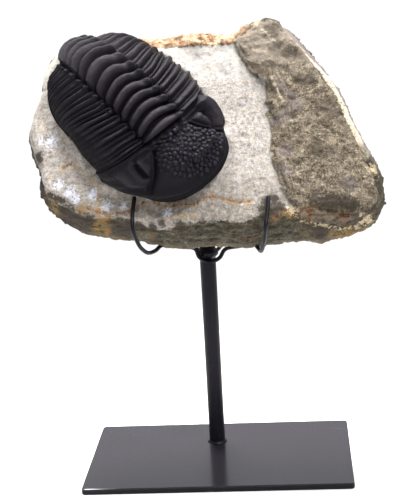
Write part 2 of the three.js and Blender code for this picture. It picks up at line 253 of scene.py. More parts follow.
def makeCamera():
    azimuth, elevation, roll = (math.radians(camera[k]) for k in ("azimuth", "elevation", "roll"))
    level = math.cos(elevation)
    back = Vector((math.sin(azimuth) * level, -math.cos(azimuth) * level, math.sin(elevation)))
    right = (-back).cross(Vector((0, 0, 1))).normalized()
    up = right.cross(-back)
    tiltedRight = right * math.cos(roll) + up * math.sin(roll)
    tiltedUp = up * math.cos(roll) - right * math.sin(roll)
    data = bpy.data.cameras.new("camera")
    data.sensor_width = camera["sensor"]
    data.lens = camera["focalPixels"] * camera["sensor"] / camera["longSidePixels"]
    made = bpy.data.objects.new("camera", data)
    bpy.context.scene.collection.objects.link(made)
    place = Vector(camera["target"]) * mm + back * camera["distance"] * mm
    axes = Matrix((tiltedRight, tiltedUp, back)).transposed().to_4x4()
    made.matrix_world = Matrix.Translation(place) @ axes
    bpy.context.scene.camera = made


# Studio: a pale floor and soft light from above; places and sizes in metres
studio = {
    "floorHalf": 20.0,
    "floor": (0.9, 0.9, 0.9, 1),
    "floorRoughness": 0.9,
    "front": (0.14, 0.14, 0.15, 1),
    "back": (0.6, 0.6, 0.62, 1),
    "zenith": (2.3, 2.3, 2.3, 1),
    "backFade": (-0.3, 0.6),
    "gathered": 2.6,
    "lights": [
        {"name": "key", "place": (0.5, -0.5, 1.0), "size": 0.3, "power": 0.3, "spread": 14},
        {"name": "top", "place": (-0.12, 0.3, 1.15), "size": 0.4, "power": 1.3, "spread": 24},
    ],
    "aim": (-0.01, 0, 0.165),
}


def makeStudio():
    half = studio["floorHalf"]
    material, shader = newMaterial("paleFloor")[:2]
    shader.inputs["Base Color"].default_value = studio["floor"]
    shader.inputs["Roughness"].default_value = studio["floorRoughness"]
    corners = [(-half, -half, 0), (half, -half, 0), (half, half, 0), (-half, half, 0)]
    floor = meshObject("floor", corners, [(0, 1, 2, 3)], material, False)
    world = bpy.data.worlds.new("sky")
    world.use_nodes = True
    background = world.node_tree.nodes["Background"]
    direction = Value(world.node_tree).node("ShaderNodeTexCoord", output=0)
    rise = direction.part(2).most(0) ** studio["gathered"]
    level = direction.part(1).rising(*studio["backFade"]).blend(studio["front"], studio["back"])
    sky = level.over(rise, studio["zenith"])
    world.node_tree.links.new(sky.socket, background.inputs["Color"])
    bpy.context.scene.world = world
    for light in studio["lights"]:
        data = bpy.data.lights.new(light["name"], "AREA")
        data.size = light["size"]
        data.energy = light["power"]
        data.spread = math.radians(light["spread"])
        made = bpy.data.objects.new(light["name"], data)
        made.location = light["place"]
        ahead = Vector(studio["aim"]) - Vector(light["place"])
        made.rotation_euler = ahead.to_track_quat("-Z", "Y").to_euler()
        bpy.context.scene.collection.objects.link(made)
    bpy.context.scene.view_settings.view_transform = "Standard"


makeCamera()
makeStudio()
print("camera and studio made")

# The slab's own frame: a to the right, b up the slab, n out of its face
slab = {"lean": 30, "centre": (0, 13.5, 164.5)}
leanAngle = math.radians(slab["lean"])
slabAxes = np.array([
    [1, 0, 0],
    [0, math.sin(leanAngle), math.cos(leanAngle)],
    [0, -math.cos(leanAngle), math.sin(leanAngle)],
])


def slabToWorld(points):
    return (np.asarray(points) @ slabAxes + np.array(slab["centre"])) * mm


def worldToSlab(points):
    return (np.asarray(points) / mm - np.array(slab["centre"])) @ slabAxes.T


# Fossil. s runs from 0 at the tail margin to 1 at the head's front, and angle from -90 at the left
# margin over 0 on the crest to 90 at the right margin
fossil = {
    "place": (-31.8, 0.5, 15.1),
    "heading": -48.7,
    "roll": 8.7,
    "crestLength": 36.3,
    "halfWidth": (28.7, 32.5, 30.4),
    "height": (32.1, 22.1, 32.6),
    "endTilt": (-80.4, 72.1),
    "under": -3,
    "skirt": [(0.5, 0.1), (1.1, 0.3), (1.7, 0.65), (2.2, 1.0)],
    "frontSkirt": 1.7,
    "rows": 392,
    "columns": 240,
    "head": 0.725,
    "cracks": (0.01, 0.035, 0.062, 0.09, 0.136, 0.196, 0.24, 0.318, 0.386, 0.441, 0.503, 0.557,
               0.613, 0.667, 0.727),
    "crackBulge": 0.027,
    "furrow": 19.9,
    "glabella": ((0.768, 0.805, 0.843, 0.873, 0.945, 0.98, 1.0), (17, 21.5, 26.5, 31, 44, 49, 51)),
    "glabellaSkew": 1.5,
    "occipitalEnd": 0.768,
    "eyeMiddle": 0.822,
    "eyeSlit": 39.6,
    "eyeCurve": 800,
    "eyeHeight": 4.1,
    "leftEyeStart": (0.745, 0.775),
    "rightEyeStart": (0.697, 0.735),
    "lidStart": (0.752, 0.785),
    "lidEnd": (0.86, 0.9),
    "lidHeight": 2.0,
    "eyeCut": 1.5,
    "eyePit": 1.5,
    "leftRidge": 1.5,
    "leftSwelling": 2.3,
    "leftSlitDepth": 1.2,
    "neckRing": 2.1,
    "glabellaRise": 2.6,
    "glabellaRiseFront": 2.0,
    "cheekRise": 1.0,
    "cornerRise": 1.3,
    "rearGroove": 1.1,
    "napeGroove": 1.6,
    "leftTuck": 1.5,
    "frontTuck": 1.2,
    "tailTuck": 1.5,
    "uneven": 0.24,
    # rings and ribs behind the head; a pair is for the left and the right side
    "wander": 0.04,
    "zigzag": (3.2, 1.8),
    "capRise": 2.9,
    "ringDepth": 2.2,
    "ringDepthTail": 1.3,
    "ringBase": 0.6,
    "crackDepth": 1.5,
    "crackDepthTail": 0.9,
    "knob": 1.5,
    "knobInward": 4,
    "waist": 0.7,
    "waistInward": 9.5,
    "knobWidth": 2.6,
    "ribSharpness": (1.5, 0.75),
    "ribSplit": (0.44, 0.36),
    "ribHeight": (1.9, 2.4),
    "weakRib": (0.7, 0.45),
    "ribBase": 0.75,
    "ribTip": (1.1, 0.2),
    "lobeRise": 1.4,
    "troughShare": (0.62, 1),
}


def through(t, values):
    start, middle, end = values
    return start * (1 - t) * (1 - 2 * t) + 4 * middle * t * (1 - t) + end * t * (2 * t - 1)


def ringCount(s, angle):  # rings counted from the head; each crack bulges to the tail on the crest
    cracks = fossil["cracks"]
    last = cracks[-1]
    bulge = fossil["crackBulge"] * np.minimum(angle / 18.5, 1.08) ** 2 * np.clip((last - s) / 0.045, 0, 1)
    return np.interp(s - bulge, cracks, np.arange(len(cracks))[::-1])


def sweepBack(s, angle):
    outward = np.clip((angle - 20) / 40, 0, 2) ** 1.6
    return np.minimum(0.15 * outward * np.clip((fossil["head"] - s) / 0.27, 0, 1), 0.75 * np.clip(s, 0, 1))


def bySide(signed, name):
    left, right = fossil[name]
    return np.where(signed > 0, right, left)


def thoraxRelief(s, signed):
    angle = np.abs(signed)
    full = 0.8 + 0.2 * smooth(s, 0.02, 0.22)
    wander = np.stack([s * 16, signed * 0.09, np.zeros_like(s)], -1).reshape(-1, 3)
    even = ringCount(s, angle)
    shift = fossil["wander"] * softNoise(wander, 3).reshape(s.shape) * smooth(even, 0, 0.5)
    count = np.maximum(even + shift, 0)
    ring = np.floor(count)
    turn = count - ring
    zigzag = bySide(signed, "zigzag") * smooth(s, 0.05, 0.3)
    furrow = fossil["furrow"] + zigzag * (np.abs(np.sin(np.pi * turn)) ** 0.6 - 0.65)
    # axial rings: rolls with a knob and a waist near their right ends, and thin cracks between them
    cap = np.sqrt(np.clip(1 - (angle / furrow) ** 2, 0, 1))
    swell = 1 + 0.12 * np.sin(ring * 2.4 + signed * 0.08)
    roll = np.abs(np.sin(np.pi * turn ** 1.04)) ** 0.95
    ends = 1 - smooth(angle, furrow - 3.2, furrow + 0.2)
    knob = fossil["knob"] * bell(signed, furrow - fossil["knobInward"], fossil["knobWidth"])
    waist = fossil["waist"] * bell(signed, furrow - fossil["waistInward"], fossil["knobWidth"])
    lump = (knob - waist) * roll * (0.35 + 0.65 * smooth(s, 0.2, 0.42))
    tailward = 1 - smooth(s, 0.2, 0.5)
    deep = fossil["ringDepth"] + fossil["ringDepthTail"] * tailward
    crack = (fossil["crackDepth"] + fossil["crackDepthTail"] * tailward) * np.cos(np.pi * turn) ** 12
    axis = fossil["capRise"] * cap + (deep * roll * swell + lump - crack - fossil["ringBase"]) * ends
    # flanks: a strong and a weak rib to each ring, which end in tips beside the furrow
    sharpness = bySide(signed, "ribSharpness")
    split = bySide(signed, "ribSplit")
    strong = np.abs(np.sin(np.pi * np.clip((turn - split) / (1 - split), 0, 1))) ** sharpness
    weak = np.abs(np.sin(np.pi * np.clip(turn / split, 0, 1))) ** sharpness
    weak = weak * (bySide(signed, "weakRib") + 0.15 * np.sin(ring * 1.9))
    high = bySide(signed, "ribHeight") * (1 + 0.12 * np.sin(ring * 3.1 + 1))
    rib = high * np.where(turn > split, strong, weak) - fossil["ribBase"]
    farFade = 1 - 0.9 * smooth(angle + 16 * (1 - smooth(s, 0.1, 0.3)) + 7 * smooth(s, 0.4, 0.6), 42, 68)
    fade = np.where(signed > 0, 1 - smooth(angle, 74, 88), farFade)
    lobe = fossil["lobeRise"] * np.sin(np.pi * np.clip((angle - furrow) / (90 - furrow), 0, 1)) ** 0.7
    flank = lobe + rib * fade + bySide(signed, "ribTip") * bell(angle, furrow + 2.3, 1.7) * strong
    isFlank = smooth(angle, furrow - 0.6, furrow + 0.9)
    share = bySide(signed, "troughShare")
    between = np.cos(np.pi * turn) ** 4
    trough = (0.6 + 1.6 * between) * share * bell(angle, furrow - 0.3, 1.8 * share ** 0.5)
    # The wear layer is high on ring and rib crests, partly wear and partly painted highlight, and near 0 in
    # the cracks, where the shell's colour paints shade.
    worn = roll * ends * cap ** 0.5 * (1 - isFlank)
    worn = worn + np.clip(rib + fossil["ribBase"], 0, 1.9) / 1.9 * fade * isFlank
    return (axis * (1 - isFlank) + flank * isFlank - trough) * full, worn


def lidSpan(s):
    return smooth(s, *fossil["lidStart"]) * (1 - smooth(s, *fossil["lidEnd"]))


def rightEye(s, angle, half):  # a lid beside the glabella, a slit, and the eye's own swollen band outside it
    span = smooth(s, *fossil["rightEyeStart"]) * (1 - smooth(s, 0.875, 0.955))
    slit = fossil["eyeSlit"] - fossil["eyeCurve"] * (s - fossil["eyeMiddle"] + 0.01) ** 2
    lid = smooth(angle, half + 2, slit - 4) * (1 - smooth(angle, slit - 3.5, slit + 1)) * lidSpan(s)
    band = smooth(angle, slit - 1, slit + 7.5) * (1 - smooth(angle, slit + 13, slit + 26) ** 1.2) * span
    cut = fossil["eyeCut"] * bell(angle, slit, 1.7) * lidSpan(s)
    pit = fossil["eyePit"] * bell(s, 0.786, 0.011) * bell(angle, 38.5, 3.2)
    rise = fossil["lidHeight"] * lid + fossil["eyeHeight"] * band - cut - pit
    # Besides the rise: painted highlight on the lid and band, and painted shade in the cut and pit.
    return rise, lid + 0.5 * band, cut + pit


def leftEye(s, angle, half):  # a thin ridge beside the glabella, a bowed slit and a swelling outside it
    ridgeSpan = smooth(s, 0.745, 0.775) * (1 - smooth(s, 0.83, 0.862))
    ridge = fossil["leftRidge"] * bell(angle, 34.3, 1.5) * ridgeSpan
    floor = 0.5 * smooth(angle, half + 1, half + 4) * (1 - smooth(angle, 34, 37)) * lidSpan(s)
    bow = fossil["eyeSlit"] - 500 * (s - 0.825) ** 2
    slitSpan = smooth(s, 0.765, 0.79) * (1 - smooth(s, 0.855, 0.885))
    outer = smooth(angle, bow, bow + 6) * (1 - smooth(angle, bow + 9, bow + 24))
    outer = outer * smooth(s, *fossil["leftEyeStart"]) * (1 - smooth(s, 0.865, 0.915))
    rise = ridge + floor - fossil["leftSlitDepth"] * bell(angle, bow, 2.9) * slitSpan
    rise = rise + fossil["leftSwelling"] * outer - 0.9 * bell(s, 0.806, 0.018) * bell(angle, 30.2, 1.8)
    # Besides the rise: painted highlight on the ridge and swelling, and painted shade in the slit.
    return rise, ridge + 0.4 * outer, 1.5 * bell(angle, bow, 2.3) * slitSpan


def headRelief(s, signed):
    angle = np.abs(signed)
    isRight = (np.sign(signed) + 1) / 2
    half = np.interp(s, *fossil["glabella"]) + 2 * fossil["glabellaSkew"] * isRight
    behind = np.clip((s - fossil["head"]) / (fossil["occipitalEnd"] - fossil["head"]), 0, 1)
    cap = np.sqrt(np.clip(1 - (angle / fossil["furrow"]) ** 2, 0, 1))
    nodes = np.sin(signed * 0.82 + 2 * np.sin(behind * 5)) * np.sin(behind * 2.6 * np.pi)
    swell = (0.6 * np.sin(np.pi * behind) ** 0.6 + 0.9 * nodes) * (1 - smooth(angle, 15, 20))
    ring = fossil["neckRing"] * cap + swell
    isGlabella = smooth(s, fossil["occipitalEnd"] - 0.004, fossil["occipitalEnd"] + 0.006)
    rise = fossil["glabellaRise"] + fossil["glabellaRiseFront"] * smooth(s, fossil["occipitalEnd"], 0.85)
    bulge = rise * (1 - 0.7 * smooth(s, 0.93, 1)) * np.clip(1 - (angle / half) ** 2, 0, 1) ** 0.5
    grooveFade = smooth(s, 0.755, 0.78) * (1 - smooth(s, 0.915, 0.965))
    groove = (1.8 * bell(angle, half + 0.8, 1.6) + 0.9 * bell(angle, half + 4.8, 1.1)) * grooveFade
    crown = ring * (1 - isGlabella) + bulge * isGlabella - groove
    rightRise, rightPaintedHighlight, rightShade = rightEye(s, angle, half)
    leftRise, leftPaintedHighlight, leftShade = leftEye(s, angle, half)
    eyes = rightRise * isRight + leftRise * (1 - isRight)
    cheekAngle = np.clip((angle - half) / (90 - half), 0, 1)
    cheek = fossil["cheekRise"] * np.sin(np.pi * cheekAngle) * (1 - smooth(s, 0.93, 1))
    corner = fossil["cornerRise"] * bell(s, 0.778, 0.036) * bell(angle, 68, 13) * (1 - isRight)
    rearSpan = smooth(angle, 19, 24) * (1 - smooth(angle, 34, 46))
    rearGroove = fossil["rearGroove"] * bell(s, 0.757, 0.007) * rearSpan
    # Painted highlight on the eyes' lids and bands; painted shade in the eye cuts, pit, slit and the grooves
    # beside the glabella; the head's front and left cheek darker as painted shade.
    paintedHighlight = rightPaintedHighlight * isRight + leftPaintedHighlight * (1 - isRight)
    shade = rightShade * isRight + leftShade * (1 - isRight) + groove
    worn = 0.35 + (0.35 + 0.3 * isRight) * paintedHighlight - 0.4 * shade - 0.5 * smooth(s, 0.88, 0.97)
    return crown + eyes + cheek + corner - rearGroove, worn - 0.15 * smooth(-signed, 40, 60)


def napeLine(signed):  # where the head begins, further back beside the right eye
    return fossil["head"] - 0.024 * smooth(signed, 32, 52)


def fossilRelief(s, signed):
    angle = np.abs(signed)
    nape = napeLine(signed)
    groove = bell(s, nape, 0.0065) * (1 - 0.6 * smooth(signed, 40, 60)) * (1 - 0.45 * smooth(-signed, 24, 40))
    isHead = smooth(s, nape - 0.002, nape + 0.002)
    rings, ringsWearAndPaintedLight = thoraxRelief(np.minimum(s, nape), signed)
    head, headWearAndPaintedLight = headRelief(s, signed)
    both = rings * (1 - isHead) + head * isHead
    # The nape groove darkens this layer too: painted shade in the groove.
    worn = ringsWearAndPaintedLight * (1 - isHead) + headWearAndPaintedLight * isHead - groove
    margin = 1 - smooth(angle, 76, 90)
    leftSpan = smooth(s, 0.3, 0.5) * (1 - smooth(s, 0.712, 0.728))
    leftTuck = fossil["leftTuck"] * smooth(-signed, 40, 80) * leftSpan
    leftTuck = leftTuck - 1.3 * smooth(-signed, 50, 85) * bell(s, 0.87, 0.06)
    frontTuck = fossil["frontTuck"] * smooth(s, 0.96, 1) * (1 - 0.7 * smooth(signed, -20, 30))
    tailTuck = fossil["tailTuck"] * (1 - smooth(s, 0, 0.12))
    return (both - fossil["napeGroove"] * groove) * margin - leftTuck - frontTuck - tailTuck, worn


def fossilPoint(s, signed, rise):
    at = s - sweepBack(s, np.abs(signed))
    phi = np.radians(signed)
    tilt = np.radians(fossil["endTilt"][0] * (1 - at) + fossil["endTilt"][1] * at)
    up = (through(at, fossil["height"]) + rise) * np.cos(phi)
    along = fossil["crestLength"] * (at - 0.5) + up * np.sin(tilt)
    across = (through(at, fossil["halfWidth"]) + rise) * np.sin(phi)
    return np.stack([along, across, up * np.cos(tilt)], -1)


def fossilToSlab(points):
    heading = math.radians(fossil["heading"])
    roll = math.radians(fossil["roll"])
    u = np.array([math.cos(heading), math.sin(heading), 0])
    flat = np.array([-math.sin(heading), math.cos(heading), 0])
    outward = np.array([0, 0, 1])
    v = flat * math.cos(roll) - outward * math.sin(roll)
    w = outward * math.cos(roll) + flat * math.sin(roll)
    return np.asarray(points) @ np.array([u, v, w]) + np.array(fossil["place"])


def fossilGrid():
    s = np.linspace(0, 1, fossil["rows"] + 1)
    signed = np.linspace(-90, 90, fossil["columns"] + 1)
    return np.meshgrid(s, signed, indexing="ij")


def makeFossil(material):
    s, signed = fossilGrid()
    flatPlaces = np.stack([s.ravel() * 90, signed.ravel() * 0.5, np.zeros(s.size)], 1)
    uneven = fossil["uneven"] * layeredNoise(flatPlaces, 7, 4, 31, 0.6).reshape(s.shape)
    lumpy = bell(s, 0.749, 0.013) * (1 - smooth(np.abs(signed), 14, 20))
    uneven = uneven + lumpy * 1.1 * layeredNoise(flatPlaces, 1.5, 2, 35).reshape(s.shape)
    relief, worn = fossilRelief(s, signed)
    rise = relief + uneven * (1 - smooth(np.abs(signed), 80, 90))
    skin = fossilPoint(s, signed, rise)
    rows, columns = s.shape
    index = np.arange(rows * columns).reshape(rows, columns)
    rim = np.concatenate([index[0, :-1], index[:-1, -1], index[-1, :0:-1], index[:0:-1, 0]])
    points = [skin.reshape(-1, 3)]
    faces = [tuple(q) for q in gridQuads(rows, columns)]
    edge = skin.reshape(-1, 3)[rim]
    ringBefore = rim
    frontness = smooth(edge[:, 0], 4, 16)[:, None]
    for depthInset, depth in fossil["skirt"]:
        inset = depthInset * (1 + (fossil["frontSkirt"] - 1) * frontness)
        reach = np.linalg.norm(edge[:, :2], axis=1, keepdims=True)
        ringPoints = np.concatenate([edge[:, :2] * (1 - inset / reach), edge[:, 2:]], 1)
        ringPoints[:, 2] = edge[:, 2] * (1 - depth) + fossil["under"] * depth
        start = sum(len(p) for p in points)
        ring = np.arange(start, start + len(rim))
        points.append(ringPoints)
        after = np.roll(ring, -1)
        before = np.roll(ringBefore, -1)
        faces += [tuple(q) for q in np.stack([ringBefore, before, after, ring], -1)]
        ringBefore = ring
    faces.append(tuple(ringBefore))
    everything = np.concatenate(points)
    piece = meshObject("trilobite_skin", slabToWorld(fossilToSlab(everything)), faces, material)
    # The layer the shell's colour reads: painted highlight and wear on crests, painted shade in cracks and
    # grooves.
    writeLayer(piece.data, "worn", np.concatenate([worn.ravel(), np.zeros(len(everything) - worn.size)]))
    return piece


# Tubercles on the glabella, scattered by geometry nodes
tubercles = {
    "spacing": 1.9,
    "smallest": 0.75,
    "largest": 1.35,
    "flatness": 0.9,
    "seed": 7,
    "rows": 90,
    "columns": 130,
    "alongFrom": 0.747,
    "alongTo": 0.942,
    "acrossFrom": -30,
    "acrossTo": 40,
    "density": 2.0e6,
    "beadDetail": 3,
    # the field's two edges: places along the fossil, then the angle at each
    "left": ((0.752, 0.772, 0.8, 0.828, 0.853, 0.88, 0.905, 0.92, 0.935, 0.942),
             (-6, -16.5, -20.5, -23, -25, -21.5, -16.5, -10, -3, 4)),
    "right": ((0.745, 0.765, 0.8, 0.833, 0.865, 0.902, 0.927, 0.935, 0.942),
              (9, 16.5, 22.5, 28.5, 35, 37, 34, 27, 10)),
    "edgeFade": 5,
    "atEdge": 0.55,
}


def makeTubercleTree():
    tree = bpy.data.node_groups.new("tubercleScatter", "GeometryNodeTree")
    kinds = {"Geometry": "NodeSocketGeometry", "Spacing": "NodeSocketFloat", "Smallest": "NodeSocketFloat",
             "Largest": "NodeSocketFloat", "Flatness": "NodeSocketFloat", "Seed": "NodeSocketInt",
             "Material": "NodeSocketMaterial"}
    names = {}
    for name, kind in kinds.items():
        names[name] = tree.interface.new_socket(name=name, in_out="INPUT", socket_type=kind).identifier
    tree.interface.new_socket(name="Geometry", in_out="OUTPUT", socket_type="NodeSocketGeometry")
    group = tree.nodes.new("NodeGroupInput")
    given = {name: Value(tree, group.outputs[name]) for name in kinds}
    start = Value(tree)
    scatter = start.node("GeometryNodeDistributePointsOnFaces", {"distribute_method": "POISSON"}, {
        "Mesh": given["Geometry"], "Distance Min": given["Spacing"], "Density Max": tubercles["density"],
        "Seed": given["Seed"]})
    normal = Value(tree, scatter.socket.node.outputs["Normal"])
    turn = start.node("FunctionNodeAlignRotationToVector", {"axis": "Z"}, {"Vector": normal})
    size, otherSize = (
        start.node("FunctionNodeRandomValue", {"data_type": "FLOAT"}, {
            2: given["Smallest"], 3: given["Largest"], "Seed": seed}, 1)
        for seed in (given["Seed"], given["Seed"] + 5))
    weight = start.node("GeometryNodeInputNamedAttribute", {"data_type": "FLOAT"}, {"Name": "fullness"})
    wide = size * weight
    deep = (size + otherSize) * 0.5 * weight
    tall = wide * given["Flatness"]
    scale = start.node("ShaderNodeCombineXYZ", {}, {0: wide, 1: deep, 2: tall})
    bead = start.node("GeometryNodeMeshIcoSphere", {}, {
        "Radius": 1.0, "Subdivisions": tubercles["beadDetail"]})
    placed = start.node("GeometryNodeInstanceOnPoints", {}, {
        "Points": scatter, "Instance": bead, "Rotation": turn, "Scale": scale})
    real = start.node("GeometryNodeRealizeInstances", {}, {"Geometry": placed})
    rounded = start.node("GeometryNodeSetShadeSmooth", {}, {"Geometry": real})
    dressed = start.node("GeometryNodeSetMaterial", {}, {
        "Geometry": rounded, "Material": given["Material"]})
    out = tree.nodes.new("NodeGroupOutput")
    tree.links.new(dressed.socket, out.inputs[0])
    return tree, names


def makeTubercles(material):
    along = np.linspace(tubercles["alongFrom"], tubercles["alongTo"], tubercles["rows"])
    across = np.linspace(tubercles["acrossFrom"], tubercles["acrossTo"], tubercles["columns"])
    s, signed = np.meshgrid(along, across, indexing="ij")
    skin = fossilPoint(s, signed, fossilRelief(s, signed)[0]).reshape(-1, 3)
    fromLeft = signed - np.interp(s, *tubercles["left"])
    within = np.minimum(fromLeft, np.interp(s, *tubercles["right"]) - signed).ravel()
    quads = gridQuads(*s.shape)
    kept = quads[(within > 0)[quads].all(1)]
    patch = meshObject("glabella_tubercles", slabToWorld(fossilToSlab(skin)), kept, material)
    atEdge = tubercles["atEdge"]
    writeLayer(patch.data, "fullness", atEdge + (1 - atEdge) * smooth(within, 0, tubercles["edgeFade"]))
    tree, names = makeTubercleTree()
    modifier = patch.modifiers.new("scatter", "NODES")
    modifier.node_group = tree
    for name in ("Spacing", "Smallest", "Largest"):
        modifier[names[name]] = tubercles[name.lower()] * mm
    for name in ("Flatness", "Seed"):
        modifier[names[name]] = tubercles[name.lower()]
    modifier[names["Material"]] = material
    seen = patch.evaluated_get(bpy.context.evaluated_depsgraph_get())
    plain = bpy.data.meshes.new_from_object(seen)
    patch.modifiers.remove(modifier)
    patch.data = plain
    return patch


def makeFossilMaterial(name, isBead):
    material, shader, place = newMaterial(name)
    broad = place.noise(0.012, 3)
    fine = place.noise(0.0014, 5, 0.6)
    grain = place.noise(0.00035, 3, 0.6)
    speck = place.cells(0.0019).rising(0.16, 0.06) * place.noise(0.006, 2).rising(0.56, 0.7)
    colour = (fine * 0.5 + broad * 0.5).ramp(
        (0.3, tone(9, 8, 12)), (0.55, tone(14, 12, 17)), (0.75, tone(25, 21, 26)))
    if isBead:
        colour = colour.over(0.4, tone(34, 31, 41))
    else:
        worn = readLayer(place, "worn") + (fine - 0.5) * 0.5
        # Lighter on crests, partly wear and partly painted highlight; near black in cracks and grooves as
        # painted shade.
        colour = colour.over(worn.rising(0.4, 1) * 0.5, tone(36, 30, 35))
        colour = colour.over(worn.rising(0.3, -0.1) * 0.75, tone(5, 4, 6))
    colour = colour.over(speck * 0.5, tone(88, 74, 58))
    roughness = 0.38 + 0.18 * fine + 0.1 * broad
    if not isBead:
        roughness = roughness + worn.rising(0.35, -0.1) * 0.3
    finishMaterial(shader, colour, roughness, fine * 0.6 + grain * 0.4, 0.00045, 0.85)
    shader.inputs["Specular IOR Level"].default_value = 0.16
    shader.inputs["Specular Tint"].default_value = (0.96, 0.9, 1, 1)
    return material


skin = makeFossil(makeFossilMaterial("charcoalShell", False))
finishPiece(skin, "fossil_stone", "trilobite")
bumps = makeTubercles(makeFossilMaterial("tubercleShell", True))
finishPiece(bumps, "fossil_stone")
print("fossil made:", len(skin.data.polygons), "faces and", len(bumps.data.polygons), "in its tubercles")

